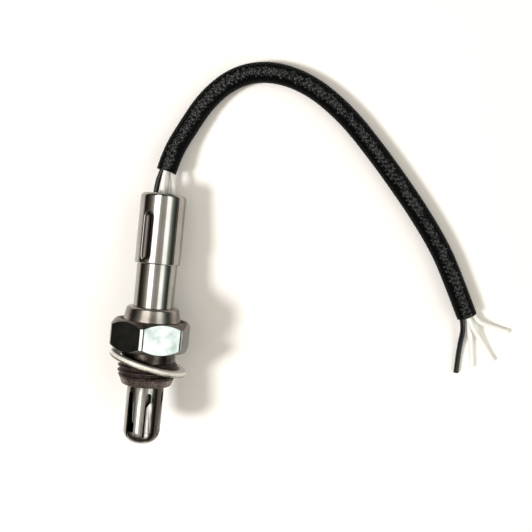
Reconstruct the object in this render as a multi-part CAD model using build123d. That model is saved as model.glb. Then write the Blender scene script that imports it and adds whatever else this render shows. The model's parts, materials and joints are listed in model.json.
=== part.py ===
from build123d import *
import math
import os

# Heated four-wire exhaust gas oxygen sensor with flying leads, lying on a floor.
# Millimetres. The sensor is built upright about Z: its seat, the underside of the
# hexagon, is at height 0, the protection tube points down and the cable goes up.
# Every sensor piece is then laid down by one placement, so that it rests on a
# corner of the hexagon and on the cap's rim, with the cable along +Y on the floor.

# ---- Housing ----
hex_across_flats = 22.0
hex_height = 9.2
hex_top_edge = 0.2
hex_corner_flat = 1.2
hex_corner_rounding = 0.8
washer_face_inset = 0.7
washer_face_height = 0.2
neck_relief = 0.4
neck_length = 3.0
thread_diameter = 18.0
thread_pitch = 1.5
thread_length = 5.0
taper_inset = 1.06
taper_length = 2.4
taper_edge = 0.4
collar_inset = 2.35
collar_lean = 0.75
collar_height = 4.0
collar_foot = 0.4
collar_rounding = 0.8
lip_thickness = 1.2
shelf_depth = 4.0

# ---- Protection tube and its louvres ----
tube_radius = 5.55
tube_wall = 0.5
tube_end_rounding = 4.0
tube_flange_inset = 0.2
nose_reach = 28.5
louvre_count = 6
louvre_turn = 46.0
louvre_start = 12.3
relief_width = 1.7
relief_height = 3.0
vane_width = 2.55
vane_length = 9.1
vane_thickness = 0.45
vane_press = 20.0
vane_root = 0.75
vane_bend = 3.2
slit_width = 0.4
slit_run_out = 1.9

# ---- Ceramic element and its seat in the housing ----
seal_ring_height = 0.5
seal_ring_width = 2.2
element_tip_height = 24.0
element_tip_radius = 3.1
element_tip_rounding = 2.6
element_neck_radius = 3.9
element_bulge_radius = 6.4
element_bulge_height = 5.4
element_bulge_rounding = 0.8
element_stem_radius = 4.4
element_top = 15.5
element_bore_radius = 1.9
element_bore_floor = 2.0
talc_height = 4.2
packing_radius = 6.95
crimp_ring_height = 0.7
crimp_ring_inset = 0.5

# ---- Contacts and heater ----
contact_sheet = 0.3
contact_strip_width = 1.1
signal_sleeve_wall = 0.26
signal_sleeve_depth = 11.5
signal_flange_radius = 3.4
ground_ring_height = 2.6
ground_bridge_gap = 0.7
contact_slot = 0.8
holder_gap = 1.5
holder_height = 6.0
holder_radius = 5.4
holder_hole_radius = 0.75
heater_radius = 1.5
heater_tip_gap = 0.5
heater_clip_gap = 0.2
heater_clip_height = 3.4

# ---- Terminals and their insulator ----
insulator_gap = 0.2
insulator_height = 13.6
insulator_radius = 4.6
insulator_hole_radius = 1.2
contact_entry = 0.8
pin_radius = 0.7
pin_length = 5.0
barrel_radius = 1.1
barrel_length = 7.0
barrel_bore_gap = 0.1
barrel_floor = 1.0

# ---- Protective sleeve, cap, spring and grommet ----
sleeve_radius = 6.1
sleeve_wall = 0.5
sleeve_overlap = 7.6
cap_bottom = 26.4
cap_length = 21.3
cap_wall = 0.75
cap_rounding = 1.2
cap_opening_radius = 4.6
cap_edge = 0.15
dent_count = 2
dent_turn = -22.4
dent_radius = 2.25
dent_depth = 0.9
dent_start = 2.5
dent_straight = 11.2
spring_height = 1.6
spring_sheet = 0.5
spring_inner_radius = 3.75
spring_outer_radius = 5.2
grommet_boss_inset = 0.1
grommet_boss_height = 0.5

# ---- Gasket ----
gasket_play = 0.6
gasket_width = 2.4
gasket_thickness = 1.6
gasket_rounding = 0.4
gasket_groove_depth = 0.3
gasket_groove_width = 0.7
gasket_distance = 3.9
gasket_tilt = 13.0
gasket_tilt_turn = 12.4
gasket_slack = 0.22

# ---- Leads and cable ----
lead_circle_radius = 2.75
lead_radius = 0.8
conductor_radius = 0.4
strip_length = 1.4
cable_radius = 3.1
cable_bore_radius = 2.45
cable_gap = 7.0
lead_rise = 2.5
bundle_radius = 1.3
bundle_twist = 180.0
bend_share = 0.45

# ---- Clearances ----
press_clearance = 0.05
slip_clearance = 0.02

# ---- Heights and radii that follow ----
SHARP = 0.0
PITCH_DEPTH = 0.6495
thread_radius = (thread_diameter - PITCH_DEPTH * thread_pitch) / 2
flat_radius = hex_across_flats / 2
corner_radius = flat_radius / math.cos(math.pi / 6)
thread_top = -neck_length
thread_bottom = thread_top - thread_length
housing_bottom = thread_bottom - taper_length
collar_top = hex_height + collar_height
lip_underside = collar_top - lip_thickness
main_bore_radius = packing_radius + press_clearance
nose_bore_radius = tube_radius + press_clearance
lip_radius = sleeve_radius + press_clearance

element_seat = tube_wall + seal_ring_height - shelf_depth
bulge_top = element_seat + element_bulge_height
talc_top = bulge_top + talc_height
crimp_ring_top = lip_underside - sleeve_wall
crimp_ring_bottom = crimp_ring_top - crimp_ring_height
element_bore_bottom = element_bore_floor - element_tip_height
seal_ring_inner_radius = main_bore_radius - tube_flange_inset - seal_ring_width

signal_flange_top = element_top + contact_sheet
bridge_bottom = element_top + ground_bridge_gap
bridge_top = bridge_bottom + contact_sheet
holder_bottom = element_top + holder_gap
holder_top = holder_bottom + holder_height
heater_clip_bottom = holder_top + heater_clip_gap
heater_top = heater_clip_bottom + heater_clip_height + heater_clip_gap
insulator_bottom = heater_top + insulator_gap
insulator_top = insulator_bottom + insulator_height
contact_top = insulator_bottom + contact_entry
pin_top = contact_top + pin_length
barrel_top = pin_top + barrel_length

cap_inner_radius = sleeve_radius + press_clearance
cap_radius = cap_inner_radius + cap_wall
cap_top = cap_bottom + cap_length
cap_underside = cap_top - cap_wall
sleeve_top = cap_bottom + sleeve_overlap
dent_distance = cap_radius + dent_radius - dent_depth
dent_bottom = cap_bottom + dent_start
dent_top = dent_bottom + dent_straight
grommet_bottom = insulator_top + 2 * press_clearance + spring_height
grommet_radius = cap_inner_radius - press_clearance

gasket_bore_radius = thread_diameter / 2 + gasket_play
gasket_drop = gasket_play - gasket_slack

# ---- How it lies: the hexagon's lowest corner and the cap's rim both touch the floor ----
corner_reach = corner_radius - hex_corner_flat / (2 * math.sqrt(3))
corner_height = hex_height - hex_top_edge - (corner_reach - flat_radius)
rim_radius = cap_radius - cap_rounding
rim_height = cap_top - cap_rounding
rim_span = math.hypot(corner_reach - rim_radius, rim_height - corner_height)
lie_tilt = math.atan2(corner_reach - rim_radius, rim_height - corner_height)
lie_tilt = lie_tilt - math.asin(cap_rounding / rim_span)
seat_height = corner_height * math.sin(lie_tilt) + corner_reach * math.cos(lie_tilt)
along = math.cos(lie_tilt)
down = math.sin(lie_tilt)
far_reach = rim_height * along + rim_radius * down + cap_rounding
near_reach = (nose_reach - tube_end_rounding) * along + tube_end_rounding
near_reach = near_reach + (tube_radius - tube_end_rounding) * down
seat_y = (near_reach - far_reach) / 2
laid_down = Location((0, seat_y, seat_height), (-90 - math.degrees(lie_tilt), 0, 0))


def on_axis(height):
    """The laid-down place of the axis point at this height above the seat."""
    return Vector(0, seat_y + height * along, seat_height - height * down)


# ---- Cable route: corners from the cable's mouth on, as (x, y) from the mouth and
# ---- height above the height at which the cable lies on the floor ----
cable_mouth = on_axis(cap_top + cable_gap)
route = [
    (1.3, 5.8, 1.65),
    (4.6, 12.5, 0.65),
    (10.4, 22.8, 0),
    (18.6, 30.1, 0),
    (28.8, 32.5, 0),
    (40.4, 29.8, 0),
    (51.9, 22.3, 0),
    (62.7, 11.6, 0),
    (76.3, -3.7, 0),
    (85.5, -15.8, 0),
    (91.0, -25.7, 0),
    (96.1, -35.5, 0),
]
cable_points = [cable_mouth] + [
    Vector(cable_mouth.X + x, cable_mouth.Y + y, cable_radius + rise) for x, y, rise in route
]

# Each lead: its turn round the sensor's axis (0 is up, 90 is +X), how far it runs on
# straight past the cable's end, and the corners of its free end on the floor, as
# (x, y) from the cable's mouth.
leads = {
    "black": (-90, 2.0, [(95.7, -46.5), (95.9, -54.6)]),
    "white_heater_a": (0, 2.0, [(99.3, -44.7), (100.6, -52.2)]),
    "white_ground": (90, 1.2, [(103.7, -38.5), (110.0, -39.7)]),
    "white_heater_b": (180, 2.0, [(102.2, -43.5), (106.8, -49.5)]),
}


def turned(*corners):
    """A solid turned about Z; each corner is (radius, height, rounding)."""
    points = [(radius, height) for radius, height, _ in corners]
    roundings = [rounding for _, _, rounding in corners]
    outline = FilletPolyline(*points, radius=roundings, close=True)
    return revolve(Plane.XZ * make_face(outline), Axis.Z)


def ring(inner_radius, outer_radius, bottom, top, rounding=SHARP):
    """A plain turned ring with its outer corners rounded."""
    return turned(
        (inner_radius, bottom, SHARP),
        (outer_radius, bottom, rounding),
        (outer_radius, top, rounding),
        (inner_radius, top, SHARP),
    )


def rod(radius, bottom, top):
    """A plain cylinder about Z."""
    return Pos(0, 0, bottom) * Cylinder(radius, top - bottom, align=(Align.CENTER, Align.CENTER, Align.MIN))


def at_turn(turn, radius=0.0):
    """A place at this turn round the axis, at this radius; turn 0 faces up when laid down."""
    return Rot(0, 0, turn) * Pos(0, -radius, 0)


def sector(turn, width, reach, bottom, top):
    """A wedge from the axis outwards, centred on a turn, for cutting slots; width is in degrees."""
    half = math.radians(width / 2)
    outline = Polyline(
        (0, 0),
        (-reach * math.sin(half), -reach * math.cos(half)),
        (reach * math.sin(half), -reach * math.cos(half)),
        close=True,
    )
    return Rot(0, 0, turn) * Pos(0, 0, bottom) * extrude(make_face(outline), top - bottom)


# ---- Housing ----
def hexagon():
    """The spanner hexagon: blunted corners, and both ends turned off at 45 degrees."""
    bottom = washer_face_height
    top = hex_height
    outline = RegularPolygon(corner_radius, 6, rotation=30)
    outline = chamfer(outline.vertices(), hex_corner_flat / math.sqrt(3))
    outline = fillet(outline.vertices(), hex_corner_rounding)
    prism = extrude(outline, top - bottom)
    clear = corner_radius - flat_radius + 1
    blank = turned(
        (0, bottom, SHARP),
        (flat_radius, bottom, SHARP),
        (flat_radius + clear, bottom + clear, SHARP),
        (flat_radius + clear, top - hex_top_edge - clear, SHARP),
        (flat_radius - hex_top_edge, top, SHARP),
        (0, top, SHARP),
    )
    return (Pos(0, 0, bottom) * prism) & blank


def housing():
    """Turned steel body: taper, thread at its pitch diameter, neck, hexagon and rolled collar."""
    washer_radius = flat_radius - washer_face_inset
    neck_radius = thread_radius - neck_relief
    collar_radius = flat_radius - collar_inset
    body = turned(
        (nose_bore_radius, housing_bottom, SHARP),
        (thread_radius - taper_inset, housing_bottom, taper_edge),
        (thread_radius, thread_bottom, SHARP),
        (thread_radius, thread_top, SHARP),
        (neck_radius, thread_top + neck_relief, SHARP),
        (neck_radius, 0, SHARP),
        (washer_radius, 0, SHARP),
        (washer_radius, hex_height, SHARP),
        (collar_radius, hex_height, collar_foot),
        (collar_radius - collar_lean, collar_top, collar_rounding),
        (lip_radius, collar_top, SHARP),
        (lip_radius, lip_underside, SHARP),
        (main_bore_radius, lip_underside, SHARP),
        (main_bore_radius, -shelf_depth, SHARP),
        (nose_bore_radius, -shelf_depth, SHARP),
    )
    bore = rod(main_bore_radius, -shelf_depth, lip_underside)
    return body + (hexagon() - bore)


# ---- Protection tube ----
def louvre_window():
    """The opening of one louvre: a round-topped relief, the vane's place and the slit beside it."""
    turn_per_mm = math.degrees(1 / tube_radius)
    window_width = vane_width + slit_width
    window_turn = window_width * turn_per_mm
    reach = tube_radius + tube_wall
    relief_top = -louvre_start - relief_width / 2
    vane_top = -louvre_start - relief_height
    vane_bottom = vane_top - vane_length
    relief_turn = (relief_width / 2 - window_width) * turn_per_mm
    slit_turn = (slit_width / 2 - window_width) * turn_per_mm
    arch = Rot(0, 0, relief_turn) * Pos(0, -reach, relief_top) * Rot(-90, 0, 0)
    window = arch * rod(relief_width / 2, 0, reach)
    window += sector(relief_turn, relief_width * turn_per_mm, reach, vane_top, relief_top)
    window += sector(-window_turn / 2, window_turn, reach, vane_bottom, vane_top)
    window += sector(slit_turn, slit_width * turn_per_mm, reach, vane_bottom - slit_run_out, vane_top)
    return window


def louvre_vane():
    """The vane: a strip of the wall, hinged along its length and pressed inwards."""
    wall_middle = tube_radius - tube_wall / 2
    press = math.radians(vane_press)
    root = (vane_root, -math.sqrt(wall_middle**2 - vane_root**2))
    hinge = (0, -wall_middle)
    free_edge = (-vane_width * math.cos(press), -wall_middle + vane_width * math.sin(press))
    path = FilletPolyline(root, hinge, free_edge, radius=[vane_bend])
    strip = extrude(trace(path, vane_thickness), vane_length)
    return Pos(0, 0, -louvre_start - relief_height - vane_length) * strip


def protection_tube():
    """Drawn nose tube with a seating flange and a ring of louvres."""
    flange_radius = main_bore_radius - tube_flange_inset
    flange_top = tube_wall - shelf_depth
    inner_radius = tube_radius - tube_wall
    shell = turned(
        (0, -nose_reach, SHARP),
        (tube_radius, -nose_reach, tube_end_rounding),
        (tube_radius, -shelf_depth, SHARP),
        (flange_radius, -shelf_depth, SHARP),
        (flange_radius, flange_top, SHARP),
        (inner_radius, flange_top, SHARP),
        (inner_radius, tube_wall - nose_reach, tube_end_rounding - tube_wall),
        (0, tube_wall - nose_reach, SHARP),
    )
    core = rod(inner_radius - tube_wall, -nose_reach, 0)
    window = louvre_window() - core
    vane = louvre_vane()
    for number in range(louvre_count):
        turn = Rot(0, 0, louvre_turn + number * 360 / louvre_count)
        shell = shell - turn * window
    for number in range(louvre_count):
        turn = Rot(0, 0, louvre_turn + number * 360 / louvre_count)
        shell = shell + turn * vane
    return shell


# ---- Element, packing and seals ----
def lower_seal_ring():
    """Soft steel ring between the tube's flange and the element's shoulder."""
    bottom = tube_wall - shelf_depth
    return ring(seal_ring_inner_radius, main_bore_radius - tube_flange_inset, bottom, element_seat)


def sensing_element():
    """Closed-end ceramic thimble with a shoulder, a stem and a bore for the heater."""
    return turned(
        (0, -element_tip_height, SHARP),
        (element_tip_radius, -element_tip_height, element_tip_rounding),
        (element_neck_radius, element_seat, SHARP),
        (element_bulge_radius, element_seat, SHARP),
        (element_bulge_radius, bulge_top, element_bulge_rounding),
        (element_stem_radius, bulge_top, SHARP),
        (element_stem_radius, element_top, SHARP),
        (element_bore_radius, element_top, SHARP),
        (element_bore_radius, element_bore_bottom, SHARP),
        (0, element_bore_bottom, SHARP),
    )


def talc_packing():
    """Pressed talc ring that seals the element into the housing."""
    return ring(element_stem_radius + press_clearance, packing_radius, bulge_top, talc_top)


def ceramic_bush():
    """Ceramic bush over the talc; it fills what the stack leaves under the crimp ring."""
    return ring(element_stem_radius + press_clearance, packing_radius, talc_top, crimp_ring_bottom)


def crimp_ring():
    """Steel ring between the bush and the protective sleeve's flange."""
    inner_radius = element_stem_radius + crimp_ring_inset
    return ring(inner_radius, packing_radius, crimp_ring_bottom, crimp_ring_top)


# ---- Contacts and heater ----
def contact_strip(turn, bottom):
    """Flat strip that runs up to a terminal."""
    strip = Box(
        contact_strip_width,
        contact_sheet,
        contact_top - bottom,
        align=(Align.CENTER, Align.CENTER, Align.MIN),
    )
    return Pos(0, 0, bottom) * at_turn(turn, lead_circle_radius) * strip


def contact_arm(turn, inner_radius, bottom, outer_radius=lead_circle_radius + contact_sheet / 2):
    """Flat radial arm that joins a contact to its strip."""
    arm = Box(
        contact_strip_width,
        outer_radius - inner_radius,
        contact_sheet,
        align=(Align.CENTER, Align.MAX, Align.MIN),
    )
    return Pos(0, 0, bottom) * at_turn(turn, inner_radius) * arm


def signal_contact():
    """Slotted spring sleeve in the element's bore, with a flange on the element's end."""
    outer_radius = element_bore_radius - slip_clearance
    inner_radius = outer_radius - signal_sleeve_wall
    sleeve = ring(inner_radius, outer_radius, element_top - signal_sleeve_depth, element_top)
    slot = Pos(0, 0, element_top - signal_sleeve_depth) * at_turn(90, outer_radius) * Box(
        contact_slot,
        outer_radius,
        signal_sleeve_depth - contact_slot,
        align=(Align.CENTER, Align.CENTER, Align.MIN),
    )
    flange = ring(inner_radius, signal_flange_radius, element_top, signal_flange_top)
    strip = contact_strip(leads["black"][0], element_top)
    return (sleeve - slot) + flange + strip


def ground_contact():
    """Slotted spring ring round the element's stem, bridged over to its strip."""
    turn = leads["white_ground"][0]
    inner_radius = element_stem_radius + slip_clearance
    outer_radius = inner_radius + contact_sheet
    ring_top = element_top - contact_sheet
    band = ring(inner_radius, outer_radius, ring_top - ground_ring_height, ring_top)
    slot = Pos(0, 0, ring_top - ground_ring_height) * at_turn(turn + 180, outer_radius) * Box(
        contact_slot,
        outer_radius,
        ground_ring_height,
        align=(Align.CENTER, Align.CENTER, Align.MIN),
    )
    post = Pos(0, 0, ring_top - contact_sheet) * at_turn(turn, outer_radius) * Box(
        contact_strip_width,
        contact_sheet,
        bridge_top - ring_top + contact_sheet,
        align=(Align.CENTER, Align.MIN, Align.MIN),
    )
    bridge = contact_arm(turn, lead_circle_radius - contact_sheet / 2, bridge_bottom, outer_radius)
    return (band - slot) + post + bridge + contact_strip(turn, bridge_bottom)


def contact_holder():
    """Ceramic disc that guides the heater and the two element contacts."""
    disc = ring(heater_radius + press_clearance, holder_radius, holder_bottom, holder_top, contact_sheet)
    for turn, _, _ in leads.values():
        disc = disc - at_turn(turn, lead_circle_radius) * rod(holder_hole_radius, holder_bottom, holder_top)
    return disc


def heater_rod():
    """Ceramic heater down the element's bore."""
    return rod(heater_radius, element_bore_bottom + heater_tip_gap, heater_top)


def heater_contact(turn):
    """Half clip on the heater's end, with an arm and a strip to its terminal."""
    inner_radius = heater_radius + slip_clearance
    outer_radius = inner_radius + contact_sheet
    top = heater_clip_bottom + heater_clip_height
    clip = ring(inner_radius, outer_radius, heater_clip_bottom, top)
    half = Pos(0, 0, heater_clip_bottom) * at_turn(turn, contact_slot / 2) * Box(
        2 * outer_radius,
        outer_radius,
        heater_clip_height,
        align=(Align.CENTER, Align.MAX, Align.MIN),
    )
    arm = contact_arm(turn, outer_radius - contact_sheet / 2, top - contact_sheet)
    return (clip & half) + arm + contact_strip(turn, top - contact_sheet)


# ---- Terminals and their insulator ----
def terminal_insulator():
    """Ceramic block with a hole for each terminal."""
    block = ring(0, insulator_radius, insulator_bottom, insulator_top, contact_sheet)
    for turn, _, _ in leads.values():
        hole = rod(insulator_hole_radius, insulator_bottom, insulator_top)
        block = block - at_turn(turn, lead_circle_radius) * hole
    return block


def terminal(turn):
    """Crimp terminal: a pin that meets the contact strip and a barrel for the conductor."""
    barrel_bore = conductor_radius + barrel_bore_gap
    body = turned(
        (0, contact_top, SHARP),
        (pin_radius, contact_top, SHARP),
        (pin_radius, pin_top - barrel_bore_gap, SHARP),
        (barrel_radius, pin_top - barrel_bore_gap, SHARP),
        (barrel_radius, barrel_top, SHARP),
        (barrel_bore, barrel_top, SHARP),
        (barrel_bore, pin_top + barrel_floor, SHARP),
        (0, pin_top + barrel_floor, SHARP),
    )
    return at_turn(turn, lead_circle_radius) * body


# ---- Protective sleeve, cap, spring and grommet ----
def capsules(radius):
    """Round-ended rods that stand outside the cap, one for each dent; they shape its dents."""
    body = turned(
        (0, dent_bottom - radius, SHARP),
        (radius, dent_bottom - radius, radius - slip_clearance),
        (radius, dent_top + radius, radius - slip_clearance),
        (0, dent_top + radius, SHARP),
    )
    return [
        at_turn(dent_turn + number * 360 / dent_count, dent_distance) * body
        for number in range(dent_count)
    ]


def dented(shell, bore_radius, bottom, top, dent, wall):
    """A tube with the dents pressed in: its wall follows each dent and keeps its thickness."""
    bore = rod(bore_radius, bottom, top)
    for outside, inside in zip(capsules(dent), capsules(dent + wall)):
        shell = shell + (inside & bore) - outside
    return shell


def protective_sleeve():
    """Thin steel tube from under the housing's rolled lip up into the cap."""
    inner_radius = sleeve_radius - sleeve_wall
    tube = turned(
        (inner_radius, crimp_ring_top, SHARP),
        (packing_radius - press_clearance, crimp_ring_top, SHARP),
        (packing_radius - press_clearance, lip_underside, SHARP),
        (sleeve_radius, lip_underside, SHARP),
        (sleeve_radius, sleeve_top, SHARP),
        (inner_radius, sleeve_top, SHARP),
    )
    dent = dent_radius + cap_wall + press_clearance
    return dented(tube, inner_radius + press_clearance, crimp_ring_top, sleeve_top, dent, sleeve_wall)


def outer_cap():
    """Drawn steel cap, dented to clamp the insulator and rolled over the grommet."""
    shell = turned(
        (cap_inner_radius, cap_bottom, SHARP),
        (cap_radius, cap_bottom, cap_edge),
        (cap_radius, cap_top, cap_rounding),
        (cap_opening_radius, cap_top, cap_edge),
        (cap_opening_radius, cap_underside, SHARP),
        (cap_inner_radius, cap_underside, cap_rounding - cap_wall),
    )
    return dented(shell, cap_inner_radius + press_clearance, cap_bottom, cap_underside, dent_radius, cap_wall)


def disc_spring():
    """Conical spring that presses the insulator down and the grommet up."""
    bottom = insulator_top + press_clearance
    top = grommet_bottom - press_clearance
    return turned(
        (spring_outer_radius - spring_sheet, bottom, SHARP),
        (spring_outer_radius, bottom, SHARP),
        (spring_outer_radius, bottom + spring_sheet, SHARP),
        (spring_inner_radius + spring_sheet, top, SHARP),
        (spring_inner_radius, top, SHARP),
        (spring_inner_radius, top - spring_sheet, SHARP),
    )


def grommet():
    """Rubber grommet under the cap's rim, with a boss in its opening and a hole for each lead."""
    boss_radius = cap_opening_radius - grommet_boss_inset
    body = turned(
        (0, grommet_bottom, SHARP),
        (grommet_radius, grommet_bottom, SHARP),
        (grommet_radius, cap_underside, cap_rounding - cap_wall + press_clearance),
        (boss_radius, cap_underside, SHARP),
        (boss_radius, cap_underside + grommet_boss_height, grommet_boss_inset),
        (0, cap_underside + grommet_boss_height, SHARP),
    )
    for turn, _, _ in leads.values():
        hole = rod(lead_radius + slip_clearance, grommet_bottom, cap_top)
        body = body - at_turn(turn, lead_circle_radius) * hole
    return body


# ---- Gasket ----
def gasket():
    """Folded crush washer hanging tilted on the thread, with a shallow seam round its edge."""
    outer_radius = gasket_bore_radius + gasket_width
    half = gasket_thickness / 2
    washer = turned(
        (gasket_bore_radius, -half, gasket_rounding),
        (outer_radius, -half, gasket_rounding),
        (outer_radius, -gasket_groove_width / 2, SHARP),
        (outer_radius - gasket_groove_depth, 0, SHARP),
        (outer_radius, gasket_groove_width / 2, SHARP),
        (outer_radius, half, gasket_rounding),
        (gasket_bore_radius, half, gasket_rounding),
    )
    hung = Pos(0, gasket_drop, -gasket_distance) * Rot(0, 0, gasket_tilt_turn) * Rot(0, gasket_tilt, 0)
    return hung * washer


# ---- Leads and cable ----
def bend_radii(points):
    """Bend radius for each inner corner: as large as a share of its shorter run allows."""
    radii = []
    for before, corner, after in zip(points, points[1:], points[2:]):
        turn = (corner - before).get_angle(after - corner)
        shorter = min((corner - before).length, (after - corner).length)
        radii.append(bend_share * shorter / math.tan(math.radians(turn / 2)))
    return radii


def tube_along(points, radius, bore=0.0):
    """A round tube or rod swept along straight runs joined by tangent arcs."""
    path = FilletPolyline(*points, radius=bend_radii(points))
    section = Circle(radius)
    if bore:
        section = section - Circle(bore)
    start = Plane(origin=path @ 0, z_dir=path % 0)
    return sweep(start * section, path=path), path.length


def cross_section_axes(number):
    """Unit vectors to the right of and above the cable's run at one of its corners."""
    before = cable_points[max(number - 1, 0)]
    after = cable_points[min(number + 1, len(cable_points) - 1)]
    run = (after - before).normalized()
    right = run.cross(Vector(0, 0, 1)).normalized()
    return right, right.cross(run)


def lead_points(lead, start_height):
    """A lead's corners: up through the cap, round the cable's route with its twist, then fanned out."""
    turn, fan_out, free_end = leads[lead]
    out = at_turn(turn, lead_circle_radius).position
    points = [
        (laid_down * Pos(out.X, out.Y, height)).position for height in (start_height, cap_top + lead_rise)
    ]
    bundle = cable_points[:-1]
    last_run = (cable_points[-1] - cable_points[-2]).normalized()
    bundle = bundle + [cable_points[-1] + last_run * fan_out]
    for number, middle in enumerate(bundle):
        right, up = cross_section_axes(number)
        angle = math.radians(turn + bundle_twist * number / (len(bundle) - 1))
        points.append(middle + (right * math.sin(angle) + up * math.cos(angle)) * bundle_radius)
    for x, y in free_end:
        points.append(Vector(cable_mouth.X + x, cable_mouth.Y + y, lead_radius))
    return points


def lead_jacket(lead):
    """Insulating jacket of one lead."""
    points = lead_points(lead, barrel_top + strip_length)
    return tube_along(points, lead_radius, conductor_radius + slip_clearance)


def lead_conductor(lead):
    """Copper conductor of one lead, from its terminal's barrel to the cut end."""
    points = lead_points(lead, pin_top + barrel_floor)
    return tube_along(points, conductor_radius)


def lead_sleeve():
    """Woven sleeve over the four leads."""
    return tube_along(cable_points, cable_radius, cable_bore_radius)


def report_cord(name, shape, length, area, points):
    """Print a cord's length, its bend radii and how well its volume fits its section."""
    radii = ", ".join(f"{radius:.0f}" for radius in bend_radii(points))
    print(f"{name}: length {length:.1f}, volume ratio {shape.volume / (area * length):.4f}, radii {radii}")


def build_all():
    """All pieces by node name, laid down in the shared frame."""
    upright = {
        "housing": housing(),
        "protection_tube": protection_tube(),
        "gasket": gasket(),
        "lower_seal_ring": lower_seal_ring(),
        "sensing_element": sensing_element(),
        "talc_packing": talc_packing(),
        "ceramic_bush": ceramic_bush(),
        "crimp_ring": crimp_ring(),
        "signal_contact": signal_contact(),
        "ground_contact": ground_contact(),
        "contact_holder": contact_holder(),
        "heater_rod": heater_rod(),
        "heater_contact_a": heater_contact(leads["white_heater_a"][0]),
        "heater_contact_b": heater_contact(leads["white_heater_b"][0]),
        "terminal_insulator": terminal_insulator(),
        "protective_sleeve": protective_sleeve(),
        "outer_cap": outer_cap(),
        "disc_spring": disc_spring(),
        "grommet": grommet(),
    }
    for name, (turn, _, _) in leads.items():
        upright["terminal_" + name] = terminal(turn)
    pieces = {name: laid_down * shape for name, shape in upright.items()}
    jacket_bore = conductor_radius + slip_clearance
    jacket_area = math.pi * (lead_radius**2 - jacket_bore**2)
    conductor_area = math.pi * conductor_radius**2
    for name in leads:
        points = lead_points(name, barrel_top + strip_length)
        jacket, jacket_length = lead_jacket(name)
        conductor, conductor_length = lead_conductor(name)
        report_cord("lead_" + name, jacket, jacket_length, jacket_area, points)
        report_cord("conductor_" + name, conductor, conductor_length, conductor_area, points)
        pieces["lead_" + name] = jacket
        pieces["conductor_" + name] = conductor
    sleeve, sleeve_length = lead_sleeve()
    sleeve_area = math.pi * (cable_radius**2 - cable_bore_radius**2)
    report_cord("lead_sleeve", sleeve, sleeve_length, sleeve_area, cable_points)
    pieces["lead_sleeve"] = sleeve
    return pieces


os.makedirs("parts", exist_ok=True)
for node, shape in build_all().items():
    export_step(shape, f"parts/{node}.step")
thread_middle = on_axis(thread_top - thread_length / 2)
print(f"thread middle {thread_middle}, towards the nose (0, {-along:.6f}, {down:.6f})")
print(f"tilt {math.degrees(lie_tilt):.3f}, seat y {seat_y:.3f}, seat height {seat_height:.3f}")
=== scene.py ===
"""Heated four-wire oxygen sensor with flying leads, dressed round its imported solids."""

import json
import logging
import math
from dataclasses import dataclass, field
from enum import Enum
from typing import NamedTuple, Sequence

import bmesh
import bpy
from bmesh.types import BMesh, BMVert
from bpy.types import Material, Node, NodeSocket, NodeTree, Object
from mathutils import Matrix, Vector


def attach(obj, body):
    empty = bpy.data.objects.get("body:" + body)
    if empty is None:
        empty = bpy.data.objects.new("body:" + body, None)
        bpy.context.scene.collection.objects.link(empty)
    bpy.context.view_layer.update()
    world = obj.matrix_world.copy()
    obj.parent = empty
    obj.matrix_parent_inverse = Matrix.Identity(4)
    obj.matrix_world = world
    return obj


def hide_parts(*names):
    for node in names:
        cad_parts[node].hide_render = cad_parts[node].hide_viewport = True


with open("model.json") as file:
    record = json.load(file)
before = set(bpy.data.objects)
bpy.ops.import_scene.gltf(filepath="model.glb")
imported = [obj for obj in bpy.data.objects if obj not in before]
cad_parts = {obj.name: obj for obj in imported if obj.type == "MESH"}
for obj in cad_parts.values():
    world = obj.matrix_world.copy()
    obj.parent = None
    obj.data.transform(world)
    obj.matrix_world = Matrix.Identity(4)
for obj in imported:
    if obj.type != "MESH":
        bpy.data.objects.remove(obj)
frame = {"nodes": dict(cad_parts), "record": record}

MM = 0.001
LOG = logging.getLogger("oxygen_sensor")
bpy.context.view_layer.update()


class Corner(NamedTuple):
    """A corner of a turned outline: radius and height in millimetres, and its rounding."""

    radius: float
    height: float
    rounding: float = 0.0


class Lead(Enum):
    """The four leads, named for what they join."""

    SIGNAL = "black"
    HEATER_A = "white_heater_a"
    GROUND = "white_ground"
    HEATER_B = "white_heater_b"


class LampRole(Enum):
    """What a lamp is for: the shine on metal, or the light and the shadow on the paper."""

    SHINE = "shine"
    SHADOW = "shadow"


# ---------------------------------------------------------------- finishes


def linear(code: str) -> tuple[float, float, float, float]:
    """Turn an sRGB hex colour into linear values with full alpha.

    Args:
        code: Six hex digits, as in "c8c4bc".

    Returns:
        Red, green, blue and alpha, linear.
    """
    channels = [int(code[i:i + 2], 16) / 255 for i in (0, 2, 4)]
    return tuple(c / 12.92 if c <= 0.04045 else ((c + 0.055) / 1.055) ** 2.4 for c in channels) + (1.0,)


def add_node(
    tree: NodeTree,
    kind: str,
    inputs: dict | None = None,
    stops: Sequence[tuple[float, str]] = (),
    **settings,
) -> Node:
    """Add a node with its settings, its values and its links.

    Args:
        tree: The tree that the node goes into.
        kind: The node's type name.
        inputs: Value or output socket for each input, by its name or number.
        stops: Position and sRGB hex colour of each stop, where the node has a colour ramp.
        **settings: Properties of the node itself.

    Returns:
        The new node.
    """
    node = tree.nodes.new(kind)
    for name, value in settings.items():
        setattr(node, name, value)
    for key, value in (inputs or {}).items():
        if isinstance(value, NodeSocket):
            tree.links.new(value, node.inputs[key])
        else:
            node.inputs[key].default_value = value
    for number, (position, code) in enumerate(stops):
        elements = node.color_ramp.elements
        element = elements[number] if number < len(elements) else elements.new(position)
        element.position = position
        element.color = linear(code)
    return node


class Pattern(NamedTuple):
    """What a finish hands to its shader: a colour and, where the surface has relief, a height."""

    shade: NodeSocket
    height: NodeSocket | None = None


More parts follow.
